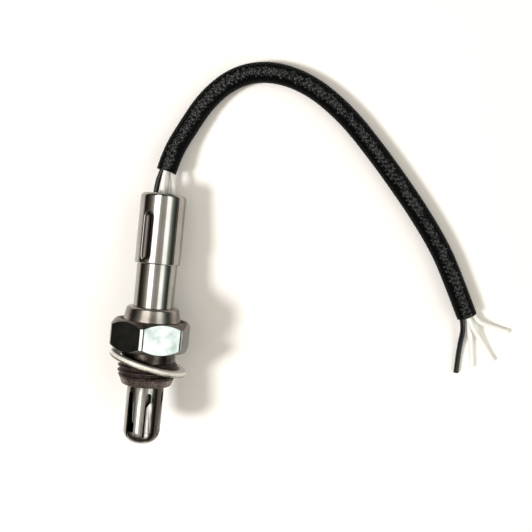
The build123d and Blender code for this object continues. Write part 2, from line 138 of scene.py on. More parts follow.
class Finish:
    """Base of every finish: makes one material on first use and keeps it."""

    _made: dict[str, Material] = {}

    def material(self) -> Material:
        """The finish's material."""
        if self.name not in Finish._made:
            made = bpy.data.materials.new(self.name)
            made.use_nodes = True
            tree = made.node_tree
            tree.nodes.clear()
            shader = add_node(tree, "ShaderNodeBsdfPrincipled")
            add_node(tree, "ShaderNodeOutputMaterial", {0: shader.outputs[0]})
            place = add_node(tree, "ShaderNodeTexCoord")
            pattern = self.dress(tree, shader, place.outputs["Object"])
            tree.links.new(pattern.shade, shader.inputs["Base Color"])
            if pattern.height is not None:
                depth = {"Strength": self.bump, "Distance": self.grit_mm * MM, "Height": pattern.height}
                relief = add_node(tree, "ShaderNodeBump", depth)
                tree.links.new(relief.outputs[0], shader.inputs["Normal"])
            Finish._made[self.name] = made
        return Finish._made[self.name]

    def dress(self, tree: NodeTree, shader: Node, where: NodeSocket) -> Pattern:
        """Set the shader's values and make the patterns; each finish has its own.

        Args:
            tree: The material's tree.
            shader: Its shader.
            where: Object coordinates.

        Returns:
            The colour and the height for the shader.
        """
        raise NotImplementedError


@dataclass(frozen=True)
class Steel(Finish):
    """Bare or plated steel, turned or drawn: faint marks run round the axis, with a little soiling.

    Where it is pressed, the attribute of that name dulls it and paints shade into the dent; the heat tint
    adds the brown of heat and a painted shade on one side.
    """

    name: str
    light: str
    dark: str
    roughness: float
    mottle_mm: float = 3.0
    grit_mm: float = 0.12
    bump: float = 0.03
    metal: float = 1.0
    pressed_roughness: float = 0.0
    dent_painted_shade: str = "474340"
    heat_tint_and_shade: bool = False
    mottle_edge: tuple[float, float] = (0.35, 0.65)
    uneven: tuple[float, float] = (0.8, 1.25)
    marks_stretch: tuple[float, float, float] = (0.08, 1.0, 0.08)

    def dress(self, tree: NodeTree, shader: Node, where: NodeSocket) -> Pattern:
        """Mottled colour and roughness, and fine tool marks."""
        size = {"Vector": where, "Scale": 1 / (self.mottle_mm * MM), "Detail": 4.0}
        mottle = add_node(tree, "ShaderNodeTexNoise", size).outputs[0]
        tones = tuple(zip(self.mottle_edge, (self.dark, self.light)))
        shade = add_node(tree, "ShaderNodeValToRGB", {0: mottle}, stops=tones).outputs[0]
        low, high = (self.roughness * share for share in self.uneven)
        rough = add_node(tree, "ShaderNodeMapRange", {0: mottle, 3: low, 4: high}).outputs[0]
        if self.pressed_roughness:
            pressed = add_node(tree, "ShaderNodeAttribute", attribute_name="pressed").outputs["Fac"]
            rough = add_node(
                tree, "ShaderNodeMapRange", {0: pressed, 3: rough, 4: self.pressed_roughness}
            ).outputs[0]
            # The deeper a dent, the darker its colour: painted shade in the hollow.
            shaded_dent = {0: pressed, 6: shade, 7: linear(self.dent_painted_shade)}
            shade = add_node(tree, "ShaderNodeMix", shaded_dent, data_type="RGBA").outputs[2]
        # Heat tint, with painted shade on the right side.
        if self.heat_tint_and_shade:
            shade = HEAT_TINT_AND_SHADE.over(tree, shade, where)
        shader.inputs["Metallic"].default_value = self.metal
        tree.links.new(rough, shader.inputs["Roughness"])
        stretched = add_node(tree, "ShaderNodeMapping", {0: where, 3: self.marks_stretch})
        size = {"Vector": stretched.outputs[0], "Scale": 1 / (self.grit_mm * MM), "Detail": 2.0}
        return Pattern(shade, add_node(tree, "ShaderNodeTexNoise", size).outputs[0])


@dataclass(frozen=True)
class HeatTintAndShade:
    """Brown heat tint in streaks along the axis, where the hot gas met the nose and near the thread, and
    painted shade in the same brown on the nose's right side.
    """

    shade: str = "39322c"
    streak_mm: float = 1.1
    stretch: tuple[float, float, float] = (1.0, 0.09, 1.0)
    shaded_side_mm: tuple[float, float] = (2.4, 4.0)
    shaded_side_share: float = 0.42
    neck_mm: tuple[float, float] = (-26.0, -20.5)
    neck_share: float = 0.17
    edge: tuple[float, float] = (0.55, 0.8)
    most: float = 0.92

    def over(self, tree: NodeTree, shade: NodeSocket, where: NodeSocket) -> NodeSocket:
        """Lay the tint and the painted shade over clean metal.

        Args:
            tree: The material's tree.
            shade: The colour of the clean metal.
            where: Object coordinates.

        Returns:
            The tinted colour.
        """
        along = add_node(tree, "ShaderNodeMapping", {0: where, 3: self.stretch})
        size = {"Vector": along.outputs[0], "Scale": 1 / (self.streak_mm * MM), "Detail": 3.0}
        streaks = add_node(tree, "ShaderNodeTexNoise", size).outputs[0]
        split = add_node(tree, "ShaderNodeSeparateXYZ", {0: where})
        reaches = []
        # The first reach darkens the right side as painted shade; the second browns the part near the thread.
        places = ((0, self.shaded_side_mm, self.shaded_side_share), (1, self.neck_mm, self.neck_share))
        for axis, (start, full), share in places:
            span = {0: split.outputs[axis], 1: start * MM, 2: full * MM, 4: share}
            reaches.append(add_node(tree, "ShaderNodeMapRange", span).outputs[0])
        reach = add_node(tree, "ShaderNodeMath", dict(enumerate(reaches)), operation="MAXIMUM").outputs[0]
        total = add_node(tree, "ShaderNodeMath", {0: streaks, 1: reach}, operation="ADD").outputs[0]
        start, full = self.edge
        share = add_node(tree, "ShaderNodeMapRange", {0: total, 1: start, 2: full, 4: self.most}).outputs[0]
        tinted = {0: share, 6: shade, 7: linear(self.shade)}
        return add_node(tree, "ShaderNodeMix", tinted, data_type="RGBA").outputs[2]


HEAT_TINT_AND_SHADE = HeatTintAndShade()


@dataclass(frozen=True)
class Grained(Finish):
    """A nearly even colour with a soft grain."""

    name: str
    light: str
    dark: str
    roughness: float = 0.5
    ior: float = 1.5
    metal: float = 0.0
    grain_mm: float = 0.4
    detail: float = 3.0
    edge: tuple[float, float] = (0.3, 0.7)
    bump: float = 0.08
    grit_mm: float = 0.02

    def dress(self, tree: NodeTree, shader: Node, where: NodeSocket) -> Pattern:
        """Faintly uneven colour and grain."""
        size = {"Vector": where, "Scale": 1 / (self.grain_mm * MM), "Detail": self.detail}
        grain = add_node(tree, "ShaderNodeTexNoise", size).outputs[0]
        tones = tuple(zip(self.edge, (self.dark, self.light)))
        shade = add_node(tree, "ShaderNodeValToRGB", {0: grain}, stops=tones).outputs[0]
        shader.inputs["Metallic"].default_value = self.metal
        shader.inputs["Roughness"].default_value = self.roughness
        shader.inputs["IOR"].default_value = self.ior
        return Pattern(shade, grain)


@dataclass(frozen=True)
class Moulded(Grained):
    """Moulded or extruded rubber and silicone, or fired ceramic."""

    ior: float = 1.45


@dataclass(frozen=True)
class AntiSeizePaste(Grained):
    """Dried anti-seize paste: soft lumps of dull purplish brown over the metal that they hide."""

    roughness: float = 0.48
    metal: float = 0.55
    grain_mm: float = 0.5
    detail: float = 5.0
    edge: tuple[float, float] = (0.4, 0.66)
    bump: float = 0.4
    grit_mm: float = 0.06


@dataclass(frozen=True)
class BraidedYarn(Finish):
    """Black varnished glass yarn, braided: nearly black, with single bright filaments along each yarn,
    painted as highlights, most of them on the sleeve's top.

    The "yarn" attribute holds the place across and along the yarn in millimetres, and its tone, which carries
    a painted highlight on the top.
    """

    name: str = "braided_glass_yarn"
    light: str = "1d1c1b"
    dark: str = "040505"
    roughness: float = 0.38
    filament_mm: float = 0.12
    lint_mm: float = 0.7
    stroke_mm: tuple[float, float] = (0.35, 1.6)
    tone_step: float = 9.0
    stroke_edge: tuple[float, float] = (0.51, 0.65)
    gloss: tuple[float, float] = (0.04, 0.75)
    bump: float = 0.35
    grit_mm: float = 0.04

    def dress(self, tree: NodeTree, shader: Node, where: NodeSocket) -> Pattern:
        """Filament lines, and strokes of painted highlight, from the yarn's own coordinates."""
        yarn = add_node(tree, "ShaderNodeAttribute", attribute_name="yarn").outputs["Vector"]
        split = add_node(tree, "ShaderNodeSeparateXYZ", {0: yarn})
        size = {"Vector": where, "Scale": 1 / (self.lint_mm * MM), "Detail": 6.0, "Roughness": 0.7}
        lint = add_node(tree, "ShaderNodeTexNoise", size).outputs[0]
        spaced = {0: split.outputs[0], 1: 1 / self.filament_mm, 2: lint}
        wave = add_node(tree, "ShaderNodeMath", spaced, operation="MULTIPLY_ADD").outputs[0]
        lines = add_node(tree, "ShaderNodeMath", {0: wave}, operation="SINE").outputs[0]
        wide, long = self.stroke_mm
        drawn = {0: yarn, 1: (1 / wide, 1 / long, self.tone_step)}
        drawn_out = add_node(tree, "ShaderNodeVectorMath", drawn, operation="MULTIPLY").outputs[0]
        strokes = add_node(tree, "ShaderNodeTexNoise", {"Vector": drawn_out, "Scale": 1.0, "Detail": 2.0})
        toned = {0: strokes.outputs[0], 1: split.outputs[2]}
        tone = add_node(tree, "ShaderNodeMath", toned, operation="MULTIPLY").outputs[0]
        start, full = self.stroke_edge
        stroke = add_node(tree, "ShaderNodeMapRange", {0: tone, 1: start, 2: full}).outputs[0]
        # Where the strokes show, the colour lightens: painted highlight.
        tones = ((0.0, self.dark), (1.0, self.light))
        shade = add_node(tree, "ShaderNodeValToRGB", {0: stroke}, stops=tones).outputs[0]
        dull, bright = self.gloss
        gloss = add_node(tree, "ShaderNodeMapRange", {0: stroke, 3: dull, 4: bright})
        tree.links.new(gloss.outputs[0], shader.inputs["Specular IOR Level"])
        shader.inputs["Roughness"].default_value = self.roughness
        return Pattern(shade, lines)


@dataclass(frozen=True)
class Paper(Finish):
    """A sheet of white uncoated paper, bright and without gloss, on a pale dull table."""

    name: str = "paper_sheet"
    shade: str = "fffdfa"
    table: str = "a39e96"
    roughness: float = 0.9
    gloss: float = 0.2
    middle_mm: tuple[float, float, float] = (33.0, 12.0, 0.0)
    reach_mm: tuple[float, float] = (112.0, 150.0)

    def dress(self, tree: NodeTree, shader: Node, where: NodeSocket) -> Pattern:
        """White up to the sheet's square edge, then the table's shade."""
        off = {0: where, 1: Vector(self.middle_mm) * MM}
        off = add_node(tree, "ShaderNodeVectorMath", off, operation="SUBTRACT").outputs[0]
        away = add_node(tree, "ShaderNodeVectorMath", {0: off}, operation="ABSOLUTE").outputs[0]
        split = add_node(tree, "ShaderNodeSeparateXYZ", {0: away}).outputs
        farther = add_node(tree, "ShaderNodeMath", {0: split[0], 1: split[1]}, operation="MAXIMUM").outputs[0]
        near, far = self.reach_mm
        share = add_node(tree, "ShaderNodeMapRange", {0: farther, 1: near * MM, 2: far * MM}).outputs[0]
        tones = ((0.0, self.shade), (1.0, self.table))
        shader.inputs["Roughness"].default_value = self.roughness
        shader.inputs["Specular IOR Level"].default_value = self.gloss
        return Pattern(add_node(tree, "ShaderNodeValToRGB", {0: share}, stops=tones).outputs[0])


# Turned mild steel with a thin grey skin: a soft, slightly warm shine on the collar.
TURNED_STEEL = Steel("turned_steel", "948e87", "7a746d", 0.22, mottle_mm=4.0)
# The same steel painted nearly black: painted shade on the neck under the hexagon and on the hexagon's broken
# edges.
PAINTED_SHADE_NECK_STEEL = Steel("neck_steel_painted_shade", "4a433f", "2c2825", 0.2, mottle_mm=2.0)
# Bright zinc plating on milled flats: a mirror to the lamps, clouded with faint green where it has dulled.
PLATED_FLATS = Steel("plated_flats", "a8a8a6", "7b857f", 0.1, mottle_mm=3.5, bump=0.01)
# The same plating painted grey: painted shade on the one flat that faces right, away from the lamps.
PAINTED_SHADE_FLAT = Steel("plated_flat_painted_shade", "6b6d6b", "4d504e", 0.16, mottle_mm=2.5, bump=0.015)
# Duller steel painted darker: painted shade on the hexagon's top chamfer.
PAINTED_SHADE_CHAMFER_STEEL = Steel("chamfer_steel_painted_shade", "6a625c", "4b4540", 0.26, mottle_mm=3.0)
# Drawn stainless sheet, polished by the die: sharp bands of light and dark along the tube.
POLISHED_STAINLESS = Steel("polished_stainless", "9e9b96", "94918b", 0.08, mottle_mm=6.0, bump=0.015)
# The same sheet, browned by the heat in streaks and near the thread, with painted shade on its right side.
NOSE_STAINLESS = Steel(
    "heat_tinted_and_shaded_stainless", "9e9b96", "94918b", 0.1, mottle_mm=6.0, bump=0.015, heat_tint_and_shade=True
)
# The same sheet on the cap, with its dents dulled by the stamp and painted darker by their depth as shade.
PRESSED_STAINLESS = Steel(
    "pressed_stainless", "9e9b96", "94918b", 0.08, mottle_mm=6.0, bump=0.015, pressed_roughness=0.2
)
# Dull tinned sheet: the gasket's face looks chalky, nearly white.
GASKET_STEEL = Steel("dull_tinned_gasket", "f5f3ee", "e7e4db", 0.5, mottle_mm=1.2, metal=0.3)
# The washer's rim, where the tin is thin and the grey steel shows.
GASKET_EDGE = Steel("gasket_rim_steel", "a8a297", "766f66", 0.4, mottle_mm=1.2)
# Stainless sheet inside the tube, matt black: exhaust soot, and painted shade in the slots.
SOOT_AND_SHADE_STEEL = Steel("soot_and_painted_shade_stainless", "2e2b29", "191716", 0.5, mottle_mm=1.5)
# Bright rolled spring steel for the contacts and the spring.
SPRING_STEEL = Steel("spring_steel", "b5b3ae", "97948f", 0.25)
# Drawn copper wire, warm and bright at its cut ends.
COPPER = Steel("copper_wire", "d08a5c", "b06a42", 0.25, mottle_mm=1.0)
# Dried paste on the thread: dark purplish brown lumps, with metal at the worn crests.
PASTE = AntiSeizePaste("anti_seize_paste", "62514d", "100b0c")
# The same paste wiped thin: the taper shows paler metal through it.
WIPED_PASTE = AntiSeizePaste("wiped_anti_seize_paste", "8f7f7a", "544743", metal=0.8, roughness=0.36)
# Moulded black rubber, dull and slightly dusty.
GROMMET_RUBBER = Moulded("grommet_rubber", "1d1c1b", "121211", 0.55)
# Extruded black silicone: deep black with a narrow line of light.
BLACK_JACKET = Moulded("black_jacket", "0d0c0d", "070708", 0.24)
# Extruded white silicone: white and soft, nearly lost on white paper.
WHITE_JACKET = Moulded("white_jacket", "fafaf7", "f2f2ee", 0.5)
# Zirconia ceramic under its thin platinum coat: dark grey with a dense shine.
ZIRCONIA = Moulded("zirconia_with_platinum", "3a3735", "2a2826", 0.45, ior=2.1)
# Fired alumina: ivory white, half matt.
ALUMINA = Moulded("alumina", "f2efe8", "e2dfd7", 0.5, ior=1.76)
# Pressed talc powder: pale greenish grey and quite matt.
TALC = Moulded("talc", "d3d6cc", "bfc3b8", 0.9, ior=1.58)
# Varnished glass yarn, nearly black, with short painted glints.
YARN = BraidedYarn()
# White paper, even and without gloss, on a pale table.
PAPER = Paper()


# ---------------------------------------------------------------- where the sensor lies


@dataclass(frozen=True)
class SensorPlace:
    """The sensor's own upright frame, laid down as the CAD lays it."""

    seat: Vector
    turn: Matrix

    @classmethod
    def from_record(cls, record: dict, thread_middle_mm: float = 5.5) -> "SensorPlace":
        """Read the axis and the seat from the thread's mount.

        Args:
            record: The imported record.
            thread_middle_mm: Distance from the seat to the mount's point.

        Returns:
            The sensor's place.
        """
        mount = next(m for m in record["mounts"] if m["name"] == "exhaust_thread")
        along = -Vector(mount["axis"]).normalized()
        across = Vector((1, 0, 0))
        floorward = along.cross(across)
        turn = Matrix((across, floorward, along)).transposed()
        return cls(Vector(mount["pos_m"]) + along * thread_middle_mm * MM, turn)

    def matrix(self) -> Matrix:
        """Matrix from the upright frame in millimetres to the scene in metres."""
        return Matrix.Translation(self.seat) @ (self.turn * MM).to_4x4()

    def point(self, x: float, y: float, z: float) -> Vector:
        """A point of the upright frame, in the scene."""
        return self.seat + self.turn @ Vector((x, y, z)) * MM


PLACE = SensorPlace.from_record(frame["record"])


# ---------------------------------------------------------------- mesh helpers


def rounded(corners: Sequence[Corner], steps: int = 6) -> list[tuple[float, float]]:
    """Points of an outline with its corners rounded.

    Args:
        corners: The outline's corners in order; the last joins the first.
        steps: Number of chords in each rounding.

    Returns:
        Radius and height of each point, in millimetres.
    """
    points = []
    for number, corner in enumerate(corners):
        here = Vector((corner.radius, corner.height))
        if corner.rounding <= 0:
            points.append(tuple(here))
            continue
        before = Vector(corners[number - 1][:2]) - here
        after = Vector(corners[(number + 1) % len(corners)][:2]) - here
        before.normalize()
        after.normalize()
        half = before.angle(after) / 2
        start = here + before * corner.rounding / math.tan(half)
        end = here + after * corner.rounding / math.tan(half)
        centre = here + (before + after).normalized() * corner.rounding / math.sin(half)
        from_angle = math.atan2(*(start - centre).yx)
        sweep = (math.atan2(*(end - centre).yx) - from_angle + math.pi) % (2 * math.pi) - math.pi
        for step in range(steps + 1):
            angle = from_angle + sweep * step / steps
            points.append(tuple(centre + Vector((math.cos(angle), math.sin(angle))) * corner.rounding))
    return points


def supported(points: list[tuple[float, float]], reach: float = 0.06) -> list[tuple[float, float]]:
    """The same closed outline with a point near both ends of each long run, which keeps its shading even.

    Args:
        points: Radius and height of each point.
        reach: Distance of the added points from the ends, in millimetres.

    Returns:
        The outline with the added points.
    """
    result = []
    for number, start in enumerate(points):
        end = points[(number + 1) % len(points)]
        result.append(start)
        share = reach / max(math.dist(start, end), 1e-9)
        if share < 0.1:
            for part in (share, 1 - share):
                result.append((start[0] + (end[0] - start[0]) * part, start[1] + (end[1] - start[1]) * part))
    return result


def divided(points: list[tuple[float, float]], longest: float) -> list[tuple[float, float]]:
    """The same closed outline with every long run divided, so that a dent can shape it.

    Args:
        points: Radius and height of each point.
        longest: Longest run to leave, in millimetres.

    Returns:
        The outline with the added points.
    """
    result = []
    for number, start in enumerate(points):
        end = points[(number + 1) % len(points)]
        count = max(1, math.ceil(math.dist(start, end) / longest))
        for step in range(count):
            share = step / count
            result.append((start[0] + (end[0] - start[0]) * share, start[1] + (end[1] - start[1]) * share))
    return result


def circle(sides: int) -> list[tuple[float, float]]:
    """Cosine and sine of each of a ring's evenly spaced points."""
    angles = [2 * math.pi * side / sides for side in range(sides)]
    return [(math.cos(angle), math.sin(angle)) for angle in angles]


def join_rings(made: BMesh, rings: Sequence[Sequence[BMVert]]) -> None:
    """Add the faces between each ring of points and the next.

    Args:
        made: The mesh that the points are in.
        rings: Rings of points; the larger of two may have a multiple of the other's, and a pole is one point.
    """
    for lower, upper in zip(rings, rings[1:]):
        sides = max(len(lower), len(upper))
        for side in range(sides):
            near, far = (
                [ring[step * len(ring) // sides % len(ring)] for step in (side, side + 1)]
                for ring in (lower, upper)
            )
            corners = list(dict.fromkeys(near + far[::-1]))
            if len(corners) > 2:
                made.faces.new(corners)


def close_tube(made: BMesh, skins: Sequence[Sequence[Sequence[BMVert]]]) -> BMesh:
    """Add the faces of a tube's outer and inner skins and of its two ends."""
    for rings in skins:
        join_rings(made, rings)
    for end in (0, -1):
        join_rings(made, [rings[end] for rings in skins])
    bmesh.ops.recalc_face_normals(made, faces=made.faces)
    return made


def spun(points: Sequence[tuple[float, float]], sides: int) -> BMesh:
    """Turn a closed outline about Z.

    Args:
        points: Radius and height of each point; points on the axis become poles.
        sides: Number of facets round the axis.

    Returns:
        A closed mesh with its faces outwards.
    """
    made = bmesh.new()
    rings = []
    for radius, height in points:
        around = circle(sides) if radius > 1e-6 else [(0.0, 0.0)]
        rings.append([made.verts.new((radius * x, radius * y, height)) for x, y in around])
    join_rings(made, rings + rings[:1])
    bmesh.ops.recalc_face_normals(made, faces=made.faces)
    return made


def upright_prism(outline: Sequence[tuple[float, float]], bottom: float, top: float) -> BMesh:
    """A closed prism over an outline in the plane across the axis.

    Args:
        outline: The outline's points, in order.
        bottom: Height of its lower face.
        top: Height of its upper face.

    Returns:
        The prism with its faces outwards.
    """
    made = bmesh.new()
    lower = [made.verts.new((x, y, bottom)) for x, y in outline]
    upper = [made.verts.new((x, y, top)) for x, y in outline]
    made.faces.new(lower)
    made.faces.new(upper)
    join_rings(made, (lower, upper))
    bmesh.ops.recalc_face_normals(made, faces=made.faces)
    return made


def turned(corners: Sequence[Corner], sides: int = 96) -> BMesh:
    """A turned solid from its outline's corners."""
    return spun(supported(rounded(corners, 12)), sides)


def as_object(name: str, made: BMesh, finish: Finish, sharp: float = 35.0) -> Object:
    """Turn a mesh under construction into an object with its finish.

    Args:
        name: The object's name.
        made: The mesh; it is freed.
        finish: The finish that it gets.
        sharp: Angle in degrees past which an edge is sharp.

    Returns:
        The linked object, at the origin.
    """
    mesh = bpy.data.meshes.new(name)
    made.to_mesh(mesh)
    made.free()
    mesh.shade_smooth()
    mesh.set_sharp_from_angle(angle=math.radians(sharp))
    mesh.materials.append(finish.material())
    made_object = bpy.data.objects.new(name, mesh)
    bpy.context.scene.collection.objects.link(made_object)
    return made_object


def baked(source: Object, name: str) -> Object:
    """Replace an object by its evaluated mesh, with its modifiers gone.

    Args:
        source: The object with modifiers; it is removed.
        name: Name of the result.

    Returns:
        The plain object.
    """
    graph = bpy.context.evaluated_depsgraph_get()
    mesh = bpy.data.meshes.new_from_object(source.evaluated_get(graph))
    result = bpy.data.objects.new(name, mesh)
    bpy.context.scene.collection.objects.link(result)
    bpy.data.objects.remove(source)
    return result


def combined(body: Object, other: Object, operation: str, name: str) -> Object:
    """Exact boolean of two objects, which are both used up.

    Args:
        body: The first object.
        other: The second object.
        operation: UNION, DIFFERENCE or INTERSECT.
        name: Name of the result.

    Returns:
        The plain result.
    """
    step = body.modifiers.new("boolean", "BOOLEAN")
    step.object = other
    step.operation = operation
    step.solver = "EXACT"
    result = baked(body, name)
    bpy.data.objects.remove(other)
    return result


def laid_down(piece: Object, place: Matrix | None = None) -> Object:
    """Move a piece's mesh from the sensor's upright frame into the scene.

    Args:
        piece: The piece, in millimetres.
        place: A place within the upright frame, where it has one.

    Returns:
        The same piece.
    """
    piece.data.transform(PLACE.matrix() @ (place or Matrix.Identity(4)))
    return piece


def declare(piece: Object, slot: str, *nodes: str) -> None:
    """Ride a piece on the part's body and hide the solids that it stands for."""
    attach(piece, "root")
    if nodes:
        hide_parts(*nodes)
    LOG.info("%s stands for %s", piece.name, ", ".join(nodes) or "nothing else")


# ---------------------------------------------------------------- the sensor's pieces


@dataclass
class Housing:
    """Turned steel body with its hexagon, rolled collar and rolled thread.

    Sizes are in millimetres and turns in degrees. The thread's flank_foot and flank_width are shares of half
    a pitch, and the flat whose normal points right by more than a given share is painted grey as painted
    shade.
    """

    flat_radius: float = 11.0
    hex_height: float = 9.2
    hex_top_edge: float = 0.2
    corner_flat: float = 1.2
    corner_rounding: float = 0.8
    washer_radius: float = 10.3
    washer_height: float = 0.2
    neck_radius: float = 8.11
    neck_length: float = 3.0
    crest_radius: float = 9.0
    root_radius: float = 8.16
    pitch: float = 1.5
    thread_length: float = 5.0
    taper_radius: float = 7.45
    taper_length: float = 2.4
    collar_radius: float = 8.65
    collar_lean: float = 0.75
    collar_height: float = 4.0
    lip_radius: float = 6.15
    lip_thickness: float = 1.2
    bore_radius: float = 7.0
    nose_bore_radius: float = 5.6
    shelf_depth: float = 4.0
    flank_foot: float = 0.9
    flank_width: float = 0.75
    run_out_slope: float = 1.6
    ridge_overlap: float = 0.05
    step_height: float = 0.15
    step_width: float = 0.2
    collar_foot: float = 0.45
    collar_root: float = 0.4
    collar_rounding: float = 0.9
    blank_bore: float = 7.3
    corner_turn: float = 3.0
    shaded_flat_past: float = 0.98
    edge: float = 0.12
    bevelled_past: float = 38.0
    sharp: float = 5.0

    def thread_radius(self, phase: float) -> float:
        """Radius of the thread at this share of its pitch: flat root, flanks and flat crest."""
        distance = abs(phase % 1.0 - 0.5) * 2
        climb = min(max((self.flank_foot - distance) / self.flank_width, 0.0), 1.0)
        return self.root_radius + (self.crest_radius - self.root_radius) * climb

    def thread(self, sides: int = 96, rows_per_pitch: int = 16) -> BMesh:
        """The thread's ridge as a helical skin that runs out at both ends.

        Args:
            sides: Number of facets round the axis.
            rows_per_pitch: Rows of the skin in one pitch.

        Returns:
            A closed mesh round the body's core.
        """
        top = -self.neck_length
        bottom = top - self.thread_length
        rows = round((self.thread_length / self.pitch + 1) * rows_per_pitch)
        made = bmesh.new()
        grid = []
        for row in range(rows + 1):
            ring = []
            for side in range(sides):
                share = side / sides
                height = bottom - self.pitch + (row / rows_per_pitch + share) * self.pitch
                clear = max(min(height - bottom, top - height), 0.0)
                run_out = self.root_radius - self.ridge_overlap + clear * self.run_out_slope
                radius = min(self.thread_radius(row / rows_per_pitch), run_out)
                height = min(max(height, bottom), top)
                angle = 2 * math.pi * share
                ring.append(made.verts.new((radius * math.cos(angle), radius * math.sin(angle), height)))
            grid.append(ring)
        for lower, upper in zip(grid, grid[1:]):
            for side in range(sides - 1):
                made.faces.new((lower[side], lower[side + 1], upper[side + 1], upper[side]))
        for row in range(rows - rows_per_pitch):
            above = row + rows_per_pitch
            made.faces.new((grid[row][-1], grid[above][0], grid[above + 1][0], grid[row + 1][-1]))
        bmesh.ops.remove_doubles(made, verts=made.verts, dist=1e-4)
        bmesh.ops.dissolve_degenerate(made, edges=made.edges, dist=1e-4)
        return made

    def body(self) -> BMesh:
        """The turned body without its hexagon."""
        top = self.hex_height + self.collar_height
        lip = top - self.lip_thickness
        thread_top = -self.neck_length
        thread_bottom = thread_top - self.thread_length
        bottom = thread_bottom - self.taper_length
        core = self.root_radius
        return turned([
            Corner(self.nose_bore_radius, bottom, 0.15),
            Corner(self.taper_radius, bottom, 0.4),
            Corner(core + self.step_width, thread_bottom - self.step_height),
            Corner(core, thread_bottom),
            Corner(core, thread_top),
            Corner(self.neck_radius, thread_top + 0.05, 0.02),
            Corner(self.neck_radius, 0.0, 0.25),
            Corner(self.washer_radius, 0.0, 0.08),
            Corner(self.washer_radius, self.hex_height - self.collar_root),
            Corner(self.collar_radius + self.collar_foot, self.hex_height - self.collar_root),
            Corner(self.collar_radius, self.hex_height),
            Corner(self.collar_radius - self.collar_lean, top, self.collar_rounding),
            Corner(self.lip_radius, top, 0.25),
            Corner(self.lip_radius, lip),
            Corner(self.bore_radius, lip),
            Corner(self.bore_radius, -self.shelf_depth),
            Corner(self.nose_bore_radius, -self.shelf_depth),
        ], 128)

    def hexagon(self) -> Object:
        """The spanner hexagon with its corners turned off, and its edges just broken."""
        corner = self.flat_radius / math.cos(math.pi / 6)
        half_flat = self.corner_flat / 2
        reach = corner - half_flat * math.tan(math.pi / 6)
        outline = []
        for number in range(6):
            angle = math.pi / 6 + number * math.pi / 3
            for side in (-half_flat, half_flat):
                x = reach * math.cos(angle) - side * math.sin(angle)
                y = reach * math.sin(angle) + side * math.cos(angle)
                outline.append(Corner(x, y, self.corner_rounding))
        prism = upright_prism(rounded(outline, 2), self.washer_height, self.hex_height)
        clear = corner - self.flat_radius + 1
        top = self.hex_height
        blank = turned([
            Corner(self.blank_bore, self.washer_height),
            Corner(self.flat_radius, self.washer_height),
            Corner(self.flat_radius + clear, self.washer_height + clear),
            Corner(self.flat_radius + clear, top - self.hex_top_edge - clear),
            Corner(self.flat_radius - self.hex_top_edge, top),
            Corner(self.blank_bore, top),
        ], 144)
        return combined(
            as_object("hexagon_prism", prism, TURNED_STEEL),
            as_object("hexagon_blank", blank, TURNED_STEEL),
            "INTERSECT",
            "hexagon",
        )

    def dress(self, body: Object) -> None:
        """Give the flats their plating and the taper its paste; paint shade on the neck, the hexagon's edges,
        its top chamfer and the flat that faces right.
        """
        finishes = (TURNED_STEEL, PLATED_FLATS, WIPED_PASTE, PAINTED_SHADE_NECK_STEEL, PAINTED_SHADE_CHAMFER_STEEL, PAINTED_SHADE_FLAT)
        for finish in finishes[1:]:
            body.data.materials.append(finish.material())
        thread_middle = -self.neck_length - self.thread_length / 2
        for face in body.data.polygons:
            finish = TURNED_STEEL
            height, reach = face.center.z, face.center.xy.length
            if height < thread_middle:
                finish = WIPED_PASTE
            elif height < 0.02:
                # The neck under the hexagon is painted nearly black: painted shade.
                finish = PAINTED_SHADE_NECK_STEEL
            elif abs(face.normal.z) < 0.2 and reach > self.washer_radius + 0.3:
                turn = math.degrees(math.atan2(face.normal.y, face.normal.x)) % 30
                # Corner facets between the flats are painted nearly black: painted shade.
                finish = PLATED_FLATS if min(turn, 30 - turn) < self.corner_turn else PAINTED_SHADE_NECK_STEEL
                # The flat that faces right gets grey paint: painted shade.
                if face.normal.x > self.shaded_flat_past:
                    finish = PAINTED_SHADE_FLAT
                face.use_smooth = False
            elif reach > self.collar_radius + 0.2 and height > self.hex_height / 2:
                # The hexagon's top chamfer is painted darker: painted shade.
                finish = PAINTED_SHADE_CHAMFER_STEEL
            face.material_index = finishes.index(finish)

    def build(self) -> None:
        """Build the housing and lay it down."""
        core = as_object("housing_core", self.body(), TURNED_STEEL)
        body = combined(core, self.hexagon(), "UNION", "housing_cut")
        bevel = body.modifiers.new("edge", "BEVEL")
        bevel.width = self.edge
        bevel.segments = 2
        bevel.limit_method = "ANGLE"
        bevel.angle_limit = math.radians(self.bevelled_past)
        bevel.harden_normals = False
        body = baked(body, "housing_body")
        body.data.shade_smooth()
        body.data.set_sharp_from_angle(angle=math.radians(self.sharp))
        self.dress(body)
        declare(laid_down(body), "turned_steel", "housing")
        thread = as_object("housing_thread", self.thread(), PASTE, 80)
        declare(laid_down(thread), "turned_steel", "housing")


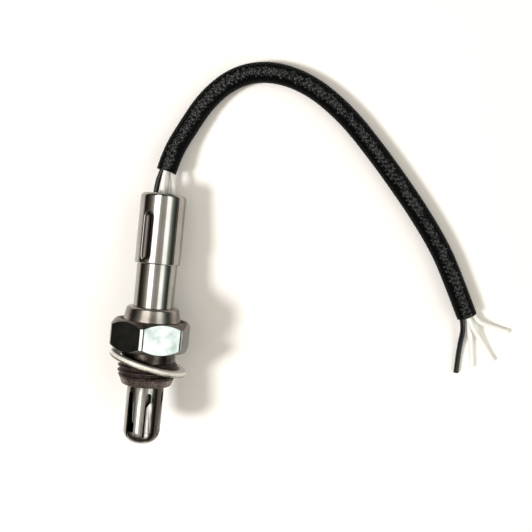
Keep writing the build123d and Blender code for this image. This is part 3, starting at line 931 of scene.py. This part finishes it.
@dataclass
class ProtectionTube:
    """Drawn nose tube with its ring of sheared and pressed louvres."""

    radius: float = 5.55
    wall: float = 0.5
    reach: float = 28.5
    end_rounding: float = 4.0
    flange_radius: float = 6.8
    shelf_depth: float = 4.0
    louvres: int = 6
    louvre_turn: float = 46.0
    louvre_start: float = 12.3
    relief_width: float = 1.7
    relief_height: float = 3.0
    vane_width: float = 2.4
    vane_length: float = 9.1
    vane_thickness: float = 0.45
    vane_root: float = 0.75
    bend_length: float = 1.1
    bend_turn: float = 17.0
    flat_length: float = 1.3
    flat_turn: float = 9.0
    corner_start: float = 1.4
    corner_slope: float = 1.6
    slit_width: float = 0.55
    slit_run_out: float = 1.9
    cutter_clearance: float = 0.3
    overlap: float = 0.05
    edge_break: float = 0.1
    soot_and_shade_lean: float = 0.5

    def shell(self) -> BMesh:
        """The tube before its louvres are sheared."""
        inner = self.radius - self.wall
        top = self.wall - self.shelf_depth
        return turned([
            Corner(0.0, -self.reach),
            Corner(self.radius, -self.reach, self.end_rounding),
            Corner(self.radius, -self.shelf_depth),
            Corner(self.flange_radius, -self.shelf_depth),
            Corner(self.flange_radius, top),
            Corner(inner, top),
            Corner(inner, self.wall - self.reach, self.end_rounding - self.wall),
            Corner(0.0, self.wall - self.reach),
        ], 144)

    def wedge(self, start_mm: float, end_mm: float, bottom: float, top: float) -> BMesh:
        """A cutter through the wall between two distances along it from the hinge."""
        near = self.radius - self.wall - self.cutter_clearance
        far = self.radius + self.cutter_clearance
        outline = []
        for radius, distance in ((near, start_mm), (far, start_mm), (far, end_mm), (near, end_mm)):
            angle = distance / self.radius
            outline.append((-radius * math.sin(angle), -radius * math.cos(angle)))
        return upright_prism(outline, bottom, top)

    def window(self) -> Object:
        """The opening of one louvre: a round-topped relief, the vane's place and the slit beside it."""
        width = self.vane_width + self.slit_width
        relief_middle = (self.relief_width / 2 - width) / self.radius
        relief_top = -self.louvre_start - self.relief_width / 2
        vane_top = -self.louvre_start - self.relief_height
        vane_bottom = vane_top - self.vane_length
        arch = bmesh.new()
        bmesh.ops.create_cone(
            arch,
            cap_ends=True,
            segments=32,
            radius1=self.relief_width / 2,
            radius2=self.relief_width / 2,
            depth=2 * (self.wall + self.cutter_clearance),
            matrix=Matrix.Rotation(relief_middle, 4, "Z")
            @ Matrix.Translation((0, -self.radius, relief_top))
            @ Matrix.Rotation(math.pi / 2, 4, "X"),
        )
        pieces = [
            arch,
            self.wedge(width - self.relief_width, width, vane_top - self.overlap, relief_top),
            self.wedge(0.0, width, vane_bottom, vane_top),
            self.wedge(self.vane_width, width, vane_bottom - self.slit_run_out, vane_bottom + self.overlap),
        ]
        result = as_object("louvre_window", pieces[0], NOSE_STAINLESS)
        for piece in pieces[1:]:
            part = as_object("louvre_part", piece, NOSE_STAINLESS)
            result = combined(result, part, "UNION", "louvre_window")
        return result

    def vane(self) -> BMesh:
        """One vane: a strip of the wall hinged along its length, bent inwards, with a broken edge."""
        middle = self.radius - self.wall / 2
        half = self.vane_thickness / 2
        angle = 0.0
        point = Vector((0, -middle))
        path = [Vector((self.vane_root, -math.sqrt(middle**2 - self.vane_root**2))), point]
        bends = ((self.bend_length, self.bend_turn, 4), (self.flat_length, self.flat_turn, 12))
        for length, bend, steps in bends:
            for _ in range(steps):
                angle += math.radians(bend / steps)
                point = point + Vector((-math.cos(angle), math.sin(angle))) * length / steps
                path.append(point)
        outer, inner = [], []
        for number, point in enumerate(path):
            run = (path[min(number + 1, len(path) - 1)] - path[max(number - 1, 0)]).normalized()
            out = Vector((-run.y, run.x))
            if out.dot(point) < 0:
                out.negate()
            edge = half - self.edge_break if number == len(path) - 1 else half
            outer.append(tuple(point + out * edge))
            inner.append(tuple(point - out * edge))
        top = -self.louvre_start - self.relief_height
        made = upright_prism(outer + inner[::-1], top - self.vane_length, top)
        for vert in made.verts:
            if vert.co.z > top - 0.01:
                vert.co.z -= max(-vert.co.x - self.corner_start, 0.0) * self.corner_slope
        return made

    def louvre_tree(self, cutter: Object, vane: Object) -> NodeTree:
        """Geometry Nodes that shear and press the ring of louvres.

        Args:
            cutter: The opening of one louvre.
            vane: The vane of one louvre.

        Returns:
            The tree, with inputs for the count and the first louvre's turn.
        """
        tree = bpy.data.node_groups.new("louvre_ring", "GeometryNodeTree")
        for name, way, kind in (
            ("Geometry", "INPUT", "NodeSocketGeometry"),
            ("Louvre Count", "INPUT", "NodeSocketInt"),
            ("First Turn", "INPUT", "NodeSocketFloat"),
            ("Geometry", "OUTPUT", "NodeSocketGeometry"),
        ):
            tree.interface.new_socket(name, in_out=way, socket_type=kind)
        given = add_node(tree, "NodeGroupInput").outputs
        centre = add_node(tree, "GeometryNodePoints", {"Count": given["Louvre Count"]}).outputs[0]
        number = add_node(tree, "GeometryNodeInputIndex").outputs[0]
        shared = {0: 2 * math.pi, 1: given["Louvre Count"]}
        step = add_node(tree, "ShaderNodeMath", shared, operation="DIVIDE").outputs[0]
        stepped = {0: number, 1: step, 2: given["First Turn"]}
        turn = add_node(tree, "ShaderNodeMath", stepped, operation="MULTIPLY_ADD").outputs[0]
        angle = add_node(tree, "ShaderNodeCombineXYZ", {2: turn}).outputs[0]
        shapes = []
        for piece in (cutter, vane):
            shape = add_node(tree, "GeometryNodeObjectInfo", {"Object": piece}).outputs["Geometry"]
            placed = {"Points": centre, "Instance": shape, "Rotation": angle}
            copies = add_node(tree, "GeometryNodeInstanceOnPoints", placed).outputs[0]
            shapes.append(add_node(tree, "GeometryNodeRealizeInstances", {0: copies}).outputs[0])
        cut = {0: given["Geometry"], 1: shapes[0]}
        sheared = add_node(tree, "GeometryNodeMeshBoolean", cut, operation="DIFFERENCE").outputs[0]
        pressed = add_node(tree, "GeometryNodeMeshBoolean", operation="UNION")
        tree.links.new(sheared, pressed.inputs[1])
        tree.links.new(shapes[1], pressed.inputs[1])
        plain = add_node(tree, "GeometryNodeRealizeInstances", {0: pressed.outputs[0]}).outputs[0]
        metal = {"Geometry": plain, "Material": NOSE_STAINLESS.material()}
        dressed = add_node(tree, "GeometryNodeSetMaterial", metal).outputs[0]
        add_node(tree, "NodeGroupOutput", {0: dressed})
        return tree

    def build(self) -> None:
        """Build the tube with its louvres and lay it down."""
        cutter = self.window()
        vane = as_object("louvre_vane", self.vane(), NOSE_STAINLESS)
        tube = as_object("nose_shell", self.shell(), NOSE_STAINLESS)
        ring = tube.modifiers.new("louvres", "NODES")
        ring.node_group = self.louvre_tree(cutter, vane)
        for socket in ring.node_group.interface.items_tree:
            if socket.name == "Louvre Count":
                ring[socket.identifier] = self.louvres
            if socket.name == "First Turn":
                ring[socket.identifier] = math.radians(self.louvre_turn)
        tube = baked(tube, "nose_tube")
        for spare in (cutter, vane):
            bpy.data.objects.remove(spare)
        tube.data.shade_smooth()
        tube.data.set_sharp_from_angle(angle=math.radians(30))
        tube.data.materials.append(SOOT_AND_SHADE_STEEL.material())
        for face in tube.data.polygons:
            x, y, z = face.center
            outwards = Vector((x, y, min(z + self.reach - self.end_rounding, 0.0)))
            # The tube's inner faces below the shelf are painted black: soot, and painted shade seen through
            # the slots.
            if z < -self.shelf_depth and face.normal.dot(outwards) < self.soot_and_shade_lean * outwards.length:
                face.material_index = 1
        declare(laid_down(tube), "stainless_steel", "protection_tube")


@dataclass
class Dents:
    """The two oblong dents stamped through the cap and the sleeve beneath it."""

    turns: tuple[float, ...] = (-22.4, 157.6)
    radius: float = 2.25
    depth: float = 0.9
    cap_radius: float = 6.9
    bottom: float = 28.9
    top: float = 40.1
    softness: float = 0.18
    marked_from: float = 0.25

    def pressed(self, x: float, y: float, z: float, gap: float) -> tuple[float, float]:
        """Press a wall point inwards where a dent reaches it.

        Args:
            x: Across.
            y: Floorward.
            z: Height.
            gap: How far the wall lies inside the cap's outer face.

        Returns:
            The new x and y.
        """
        reach = math.hypot(x, y)
        if reach < 1e-6:
            return x, y
        rest = self.cap_radius + self.radius - self.depth
        grown = self.radius + gap
        off = max(self.bottom - z, z - self.top, 0.0)
        slice_radius = math.sqrt(max(grown**2 - off**2, 0.0))
        best = reach
        for turn in self.turns:
            angle = math.radians(turn)
            cosine = (x * math.sin(angle) - y * math.cos(angle)) / reach
            sine2 = max(1 - cosine**2, 0.0)
            inside = slice_radius**2 - rest**2 * sine2
            if cosine > 0 and inside > 0:
                wall = rest * cosine - math.sqrt(inside)
                blend = max(self.softness - abs(wall - best), 0.0) / self.softness
                best = min(wall, best) - blend**2 * self.softness / 4
        return x * best / reach, y * best / reach

    def press(self, made: BMesh, bottom: float) -> None:
        """Press the dents into a turned tube above this height; its wall keeps its thickness."""
        layer = made.verts.layers.float.new("pressed")
        for vert in made.verts:
            if vert.co.z > bottom:
                before = vert.co.xy.length
                vert.co.x, vert.co.y = self.pressed(*vert.co, self.cap_radius - before)
                mark = (before - vert.co.xy.length) / (self.marked_from * self.depth)
                vert[layer] = min(max(mark, 0.0), 1.0)


@dataclass
class CapAndSleeve:
    """The narrow protective sleeve and the rolled cap pressed over it, with their dents."""

    cap_radius: float = 6.9
    cap_wall: float = 0.75
    cap_bottom: float = 26.4
    cap_top: float = 47.7
    cap_rounding: float = 1.2
    opening_radius: float = 4.6
    sleeve_radius: float = 6.1
    sleeve_wall: float = 0.5
    flange_radius: float = 6.9
    sleeve_bottom: float = 11.5
    sleeve_top: float = 34.0
    dents: Dents = field(default_factory=Dents)

    def cap(self) -> BMesh:
        """The cap with its rolled rim."""
        inner = self.cap_radius - self.cap_wall
        under = self.cap_top - self.cap_wall
        outline = rounded([
            Corner(inner, self.cap_bottom, 0.1),
            Corner(self.cap_radius, self.cap_bottom, 0.4),
            Corner(self.cap_radius, self.cap_top, self.cap_rounding),
            Corner(self.opening_radius, self.cap_top, 0.2),
            Corner(self.opening_radius, under),
            Corner(inner, under, self.cap_rounding - self.cap_wall),
        ])
        made = spun(divided(outline, 0.25), 288)
        self.dents.press(made, self.cap_bottom)
        return made

    def sleeve(self) -> BMesh:
        """The narrow tube with its flange under the collar's lip."""
        inner = self.sleeve_radius - self.sleeve_wall
        lip = self.sleeve_bottom + self.sleeve_wall
        outline = rounded([
            Corner(inner, self.sleeve_bottom),
            Corner(self.flange_radius, self.sleeve_bottom),
            Corner(self.flange_radius, lip),
            Corner(self.sleeve_radius, lip),
            Corner(self.sleeve_radius, self.sleeve_top),
            Corner(inner, self.sleeve_top),
        ])
        made = spun(divided(outline, 0.5), 144)
        self.dents.press(made, self.cap_bottom)
        return made

    def build(self) -> None:
        """Build the cap and the sleeve and lay them down."""
        cap = as_object("cap_shell", self.cap(), PRESSED_STAINLESS, 40)
        declare(laid_down(cap), "stainless_steel", "outer_cap")
        sleeve = as_object("narrow_tube", self.sleeve(), POLISHED_STAINLESS, 40)
        declare(laid_down(sleeve), "stainless_steel", "protective_sleeve")


@dataclass
class Gasket:
    """Folded crush washer that hangs tilted on the thread."""

    bore_radius: float = 9.6
    width: float = 2.4
    thickness: float = 1.6
    drop: float = 0.38
    distance: float = 3.9
    tilt: float = 13.0
    tilt_turn: float = 12.4
    edge_rounding: float = 0.4
    seam_depth: float = 0.45
    seam_half: float = 0.22

    def build(self) -> None:
        """Build the washer with its folded seam and hang it in place."""
        outer = self.bore_radius + self.width
        half = self.thickness / 2
        washer = turned([
            Corner(self.bore_radius, -half, self.edge_rounding),
            Corner(outer, -half, self.edge_rounding),
            Corner(outer, -self.seam_half, 0.12),
            Corner(outer - self.seam_depth, 0.0, 0.08),
            Corner(outer, self.seam_half, 0.12),
            Corner(outer, half, self.edge_rounding),
            Corner(self.bore_radius, half, self.edge_rounding),
        ], 144)
        piece = as_object("crush_washer", washer, GASKET_STEEL, 60)
        piece.data.materials.append(GASKET_EDGE.material())
        for face in piece.data.polygons:
            if face.normal.z < 0.3 and face.center.z < -0.1:
                face.material_index = 1
        hung = Matrix.Translation((0, self.drop, -self.distance))
        hung = hung @ Matrix.Rotation(math.radians(self.tilt_turn), 4, "Z")
        hung = hung @ Matrix.Rotation(math.radians(self.tilt), 4, "Y")
        declare(laid_down(piece, hung), "gasket_steel", "gasket")


# ---------------------------------------------------------------- cable and leads


@dataclass
class CableRoute:
    """The cable's route: corners from the cable's mouth on, repeated from the solids, in millimetres."""

    mouth_height: float = 54.7
    lie_height: float = 3.1
    corners: tuple[tuple[float, float, float], ...] = (
        (1.3, 5.8, 1.65), (4.6, 12.5, 0.65), (10.4, 22.8, 0), (18.6, 30.1, 0), (28.8, 32.5, 0),
        (40.4, 29.8, 0), (51.9, 22.3, 0), (62.7, 11.6, 0), (76.3, -3.7, 0), (85.5, -15.8, 0),
        (91.0, -25.7, 0), (96.1, -35.5, 0),
    )

    def mouth(self) -> Vector:
        """The cable's mouth on the sensor's axis, in metres."""
        return PLACE.point(0, 0, self.mouth_height)

    def on_floor(self, x: float, y: float, height: float) -> Vector:
        """A point this far from the mouth in plan, at this height above the floor."""
        mouth = self.mouth()
        return Vector((mouth.x + x * MM, mouth.y + y * MM, height * MM))

    def points(self) -> list[Vector]:
        """The route's corners, in metres."""
        return [self.mouth()] + [self.on_floor(x, y, self.lie_height + rise) for x, y, rise in self.corners]


ROUTE = CableRoute()


def spline_line(name: str, points: Sequence[Vector], resolution: int) -> list[Vector]:
    """Points of the smooth line that a route's corners control.

    Args:
        name: Name for the route's curve.
        points: The route's corners, in metres.
        resolution: Steps between two corners.

    Returns:
        The line's points, read from its NURBS spline.
    """
    curve = bpy.data.curves.new(name, "CURVE")
    curve.dimensions = "3D"
    curve.resolution_u = resolution
    spline = curve.splines.new("NURBS")
    spline.points.add(len(points) - 1)
    for control, point in zip(spline.points, points):
        control.co = (*point, 1.0)
    spline.order_u = 3
    spline.use_endpoint_u = True
    route = bpy.data.objects.new(name, curve)
    bpy.context.scene.collection.objects.link(route)
    graph = bpy.context.evaluated_depsgraph_get()
    mesh = bpy.data.meshes.new_from_object(route.evaluated_get(graph))
    line = [vert.co.copy() for vert in mesh.vertices]
    bpy.data.objects.remove(route)
    bpy.data.meshes.remove(mesh)
    return line


def sections(line: Sequence[Vector]) -> list[tuple[Vector, Vector, Vector, float]]:
    """Place, two unit vectors across and distance along, for each point of a line.

    Args:
        line: The line's points.

    Returns:
        For each point: its place, the level vector to the right, the one above, and its distance.
    """
    result = []
    distance = 0.0
    for number, point in enumerate(line):
        before = line[max(number - 1, 0)]
        after = line[min(number + 1, len(line) - 1)]
        run = (after - before).normalized()
        right = run.cross(Vector((0, 0, 1))).normalized()
        if number:
            distance += (point - line[number - 1]).length
        result.append((point, right, right.cross(run), distance))
    return result


def tube_mesh(line: Sequence[Vector], outer: float, bore: float, sides: int = 20) -> BMesh:
    """An open-ended tube with a wall, along a line, with ring faces at its cut ends.

    Args:
        line: The points that it follows, in metres.
        outer: Outer radius, in metres.
        bore: Bore radius, in metres.
        sides: Number of facets round it.

    Returns:
        The closed mesh.
    """
    made = bmesh.new()
    skins = []
    for radius in (outer, bore):
        rings = []
        for point, right, up, _ in sections(line):
            rings.append([made.verts.new(point + (right * x + up * y) * radius) for x, y in circle(sides)])
        skins.append(rings)
    return close_tube(made, skins)


@dataclass
class LeadWire:
    """One lead: a jacket over a copper conductor."""

    lead: Lead
    turn: float
    run_on: float
    free_end: tuple[tuple[float, float], ...]
    finish: Finish
    slot: str
    radius: float = 0.8
    bore: float = 0.42
    circle_radius: float = 2.75
    bundle_radius: float = 1.3
    bundle_twist: float = 180.0
    start_height: float = 41.2
    rise_height: float = 50.2

    def points(self) -> list[Vector]:
        """The lead's corners: out of the cap, round the cable's route with its twist, then fanned out."""
        across = math.radians(self.turn)
        x, y = self.circle_radius * math.sin(across), -self.circle_radius * math.cos(across)
        points = [PLACE.point(x, y, height) for height in (self.start_height, self.rise_height)]
        cable = ROUTE.points()
        last_run = (cable[-1] - cable[-2]).normalized()
        middles = cable[:-1] + [cable[-1] + last_run * self.run_on * MM]
        for number, (middle, (_, right, up, _)) in enumerate(zip(middles, sections(cable))):
            angle = math.radians(self.turn + self.bundle_twist * number / (len(cable) - 1))
            points.append(middle + (right * math.sin(angle) + up * math.cos(angle)) * self.bundle_radius * MM)
        return points + [ROUTE.on_floor(x, y, self.radius) for x, y in self.free_end]

    def build(self) -> None:
        line = spline_line("route_" + self.lead.value, self.points(), 12)
        jacket = tube_mesh(line, self.radius * MM, self.bore * MM)
        piece = as_object("jacket_" + self.lead.value, jacket, self.finish)
        declare(piece, self.slot, "lead_" + self.lead.value)
        PLACE.point(0, 0, 47.7)


@dataclass
class BraidedSleeve:
    """Braided sleeve over the leads: two sets of yarns that pass over and under each other."""

    radius: float = 3.1
    bore: float = 2.45
    yarns: int = 12
    pitch: float = 19.0
    relief: float = 0.22
    dip: float = 0.45
    yarn_width: float = 1.6
    tone_least: float = 0.92
    tone_spread: float = 0.16
    painted_side_shade: float = 0.74
    sides: int = 96
    bore_every: int = 4

    def skin(self, angle: float, along: float) -> tuple[float, tuple[float, float, float]]:
        """Height of the braid at a point, and the yarn that lies on top there.

        Args:
            angle: Angle round the sleeve, in radians.
            along: Distance along it, in millimetres.

        Returns:
            Height from 0 to 1, and the yarn's own coordinates: across, along and tone; the tone is raised on
            the top as a painted highlight.
        """
        round_share = angle / (2 * math.pi) * self.yarns
        along_share = along / self.pitch * self.yarns
        first, second = round_share + along_share, round_share - along_share
        over = (math.floor(first) + math.floor(second)) % 2 == 0
        across, other = (first % 1, second % 1) if over else (second % 1, first % 1)
        crown = math.sqrt(max(1 - (2 * across - 1) ** 2, 0.0))
        arch = self.dip + (1 - self.dip) * math.sin(math.pi * other)
        number = math.floor(first) if over else math.floor(second) + 31
        own = math.sin(number * 12.9898) * 43758.5453 % 1
        # The tone is lighter on the sleeve's top and darker at its sides: painted highlight.
        painted_top_light = max(math.sin(angle), 0.0) ** 4
        tone = self.tone_least + self.tone_spread * own
        tone *= self.painted_side_shade + (1 - self.painted_side_shade) * painted_top_light
        return crown * arch, (across * self.yarn_width, other * self.yarn_width, tone)

    def build(self) -> None:
        line = spline_line("route_sleeve", ROUTE.points(), 48)
        made = bmesh.new()
        layer = made.verts.layers.float_vector.new("yarn")
        skins = ([], [])
        for point, right, up, distance in sections(line):
            rings = ([], [])
            for side, (x, y) in enumerate(circle(self.sides)):
                height, yarn = self.skin(2 * math.pi * side / self.sides, distance / MM)
                across = right * x + up * y
                offsets = [across * ((self.radius - self.relief * (1 - height)) * MM)]
                if side % self.bore_every == 0:
                    offsets.append(across * self.bore * MM)
                for ring, offset in zip(rings, offsets):
                    ring.append(made.verts.new(point + offset))
                    ring[-1][layer] = Vector(yarn)
            for skin, ring in zip(skins, rings):
                skin.append(ring)
        close_tube(made, skins)
        piece = as_object("braided_sleeve", made, YARN, 180)
        declare(piece, "woven_sleeve", "lead_sleeve")


# ---------------------------------------------------------------- solids that keep their shape


def dress_solids() -> None:
    """Give each solid that keeps its shape the finish of its real material."""
    finishes = {
        SPRING_STEEL: [
            "lower_seal_ring", "crimp_ring", "signal_contact", "ground_contact", "heater_contact_a",
            "heater_contact_b", "disc_spring", *("terminal_" + lead.value for lead in Lead),
        ],
        COPPER: ["conductor_" + lead.value for lead in Lead],
        ALUMINA: ["ceramic_bush", "contact_holder", "heater_rod", "terminal_insulator"],
        ZIRCONIA: ["sensing_element"],
        TALC: ["talc_packing"],
        GROMMET_RUBBER: ["grommet"],
    }
    for finish, nodes in finishes.items():
        for node in nodes:
            for place in frame["nodes"][node].material_slots:
                place.material = finish.material()
            LOG.info("%s dressed in %s", node, finish.name)


# ---------------------------------------------------------------- studio


@dataclass
class Studio:
    """White paper on a table, a long lamp for the shine, a small one for the shadow, a dim room, the camera.

    The room is darkest to the left, grey overhead and has one bright band to the right. Each band is set by
    its lean from overhead, in degrees, with right positive. Towards the room's ends the bands fade out.
    """

    camera_at: tuple[float, float, float] = (0.04341, 0.05134, 0.2042)
    camera_look: tuple[float, float, float] = (-0.0523, -0.1631, -0.9852)
    camera_up: tuple[float, float, float] = (-0.1012, 0.9824, -0.1573)
    field_of_view: float = 44.27
    clip_start: float = 0.005
    sweep_size: float = 6.0
    lamp_target: tuple[float, float, float] = (0.02, 0.02, 0.01)
    room_strength: float = 3.3
    room_ends: str = "2e2c2a"
    room_fill: str = "e2ddd7"
    backdrop: str = "e4e2de"
    room_bands: tuple[tuple[float, str], ...] = (
        (-90, "1b1917"), (-74, "1f1d1b"), (-61, "353330"), (-48, "5c5a55"), (-35, "93918b"),
        (-6, "a8a5a0"), (1, "9c9994"), (12, "7d7b77"), (24, "868480"), (31, "92908c"),
        (35, "fafafa"), (51, "f6f9f9"), (59, "84908a"), (72, "3f4540"), (86, "242622"),
    )
    fade: tuple[float, float] = (0.28, 0.75)
    right_widens: float = 0.3

    def floor(self) -> None:
        """The paper and the table that everything lies on."""
        made = bmesh.new()
        bmesh.ops.create_grid(made, x_segments=1, y_segments=1, size=self.sweep_size / 2)
        as_object("paper_sweep", made, PAPER)

    def lamp(
        self,
        name: str,
        direction: tuple[float, float, float],
        distance: float,
        size: tuple[float, float],
        watts: float,
        role: LampRole,
    ) -> None:
        """An area lamp that faces the sensor.

        Args:
            name: The lamp's name.
            direction: From the sensor to the lamp.
            distance: How far away it hangs, in metres.
            size: Its width across the sensor and its length along it, in metres.
            watts: Its power.
            role: What it lights.
        """
        light = bpy.data.lights.new(name, "AREA")
        light.shape = "ELLIPSE"
        light.size, light.size_y = size
        light.energy = watts
        lamp = bpy.data.objects.new(name, light)
        lamp.visible_diffuse = role is LampRole.SHADOW
        lamp.visible_glossy = role is LampRole.SHINE
        towards = Vector(direction).normalized()
        across = Vector((0, 1, 0)).cross(towards).normalized()
        turn = Matrix((across, towards.cross(across), towards)).transposed().to_4x4()
        lamp.matrix_world = Matrix.Translation(Vector(self.lamp_target) + towards * distance) @ turn
        bpy.context.scene.collection.objects.link(lamp)

    def room(self, tree: NodeTree, path: Node) -> Node:
        """The room's light: bands across, faded ends, and a warmer, weaker fill on surfaces without gloss.

        Args:
            tree: The world's tree.
            path: Its Light Path node.

        Returns:
            The room's background node.
        """
        place = add_node(tree, "ShaderNodeTexCoord")
        split = add_node(tree, "ShaderNodeSeparateXYZ", {0: place.outputs["Generated"]}).outputs
        lean = add_node(tree, "ShaderNodeMath", {0: split[0], 1: split[2]}, operation="ARCTAN2").outputs[0]
        half_turn = {0: lean, 1: -math.pi / 2, 2: math.pi / 2, 3: 0.0, 4: 1.0}
        share = add_node(tree, "ShaderNodeMapRange", half_turn).outputs[0]
        stops = [((angle + 90) / 180, code) for angle, code in self.room_bands]
        bands = add_node(tree, "ShaderNodeValToRGB", {0: share}, stops=stops).outputs[0]
        ends = add_node(tree, "ShaderNodeMath", {0: split[1]}, operation="ABSOLUTE").outputs[0]
        side = add_node(tree, "ShaderNodeMapRange", {0: split[0], 4: self.right_widens}).outputs[0]
        within = add_node(tree, "ShaderNodeMath", {0: ends, 1: side}, operation="SUBTRACT").outputs[0]
        start, full = self.fade
        fade = add_node(tree, "ShaderNodeMapRange", {0: within, 1: start, 2: full}).outputs[0]
        faded = {0: fade, 6: bands, 7: linear(self.room_ends)}
        shade = add_node(tree, "ShaderNodeMix", faded, data_type="RGBA").outputs[2]
        seen = {0: path.outputs["Is Camera Ray"], 1: path.outputs["Is Glossy Ray"]}
        mirrored = add_node(tree, "ShaderNodeMath", seen, operation="MAXIMUM").outputs[0]
        fill = {0: mirrored, 6: linear(self.room_fill), 7: linear("ffffff")}
        tint = add_node(tree, "ShaderNodeMix", fill, data_type="RGBA").outputs[2]
        tinted = {0: 1.0, 6: shade, 7: tint}
        light = add_node(tree, "ShaderNodeMix", tinted, data_type="RGBA", blend_type="MULTIPLY").outputs[2]
        return add_node(tree, "ShaderNodeBackground", {"Color": light, "Strength": self.room_strength})

    def world(self) -> None:
        """The room round the table, with a plain pale backdrop where the camera looks past the floor."""
        world = bpy.data.worlds.new("room")
        bpy.context.scene.world = world
        world.use_nodes = True
        tree = world.node_tree
        tree.nodes.clear()
        path = add_node(tree, "ShaderNodeLightPath")
        room = self.room(tree, path)
        plain = add_node(tree, "ShaderNodeBackground", {"Color": linear(self.backdrop), "Strength": 1.0})
        shown = {0: path.outputs["Is Camera Ray"], 1: room.outputs[0], 2: plain.outputs[0]}
        mixed = add_node(tree, "ShaderNodeMixShader", shown)
        add_node(tree, "ShaderNodeOutputWorld", {0: mixed.outputs[0]})

    def camera(self) -> None:
        """The camera above the sensor."""
        data = bpy.data.cameras.new("camera")
        data.sensor_fit = "HORIZONTAL"
        data.angle = math.radians(self.field_of_view)
        data.clip_start = self.clip_start
        eye = bpy.data.objects.new("camera", data)
        back = -Vector(self.camera_look).normalized()
        right = Vector(self.camera_up).cross(back).normalized()
        turn = Matrix((right, back.cross(right), back)).transposed().to_4x4()
        eye.matrix_world = Matrix.Translation(self.camera_at) @ turn
        bpy.context.scene.collection.objects.link(eye)
        bpy.context.scene.camera = eye

    def build(self) -> None:
        """Set up the studio."""
        self.floor()
        self.lamp("long_lamp", (-0.31, 0.38, 0.94), 0.72, (0.4, 1.12), 3.4, LampRole.SHINE)
        self.lamp("side_lamp", (-0.6, -0.2, 0.77), 1.4, (0.34, 0.34), 15.2, LampRole.SHADOW)
        self.world()
        self.camera()
        bpy.context.scene.view_settings.view_transform = "Standard"
        LOG.info("studio set up")


def main() -> None:
    """Build every sub-assembly in order."""
    logging.basicConfig(level=logging.INFO, format="%(name)s: %(message)s")
    Studio().build()
    for wire in (
        LeadWire(Lead.SIGNAL, -90, 2.0, ((95.7, -46.5), (95.9, -54.6)), BLACK_JACKET, "black_jacket"),
        LeadWire(Lead.HEATER_A, 0, 2.0, ((99.3, -44.7), (100.6, -52.2)), WHITE_JACKET, "white_jacket"),
        LeadWire(Lead.GROUND, 90, 1.2, ((103.7, -38.5), (110.0, -39.7)), WHITE_JACKET, "white_jacket"),
        LeadWire(Lead.HEATER_B, 180, 2.0, ((102.2, -43.5), (106.8, -49.5)), WHITE_JACKET, "white_jacket"),
    ):
        wire.build()
    for assembly in (BraidedSleeve(), Housing(), ProtectionTube(), CapAndSleeve(), Gasket()):
        assembly.build()
    dress_solids()


if __name__ == "__main__":
    main()
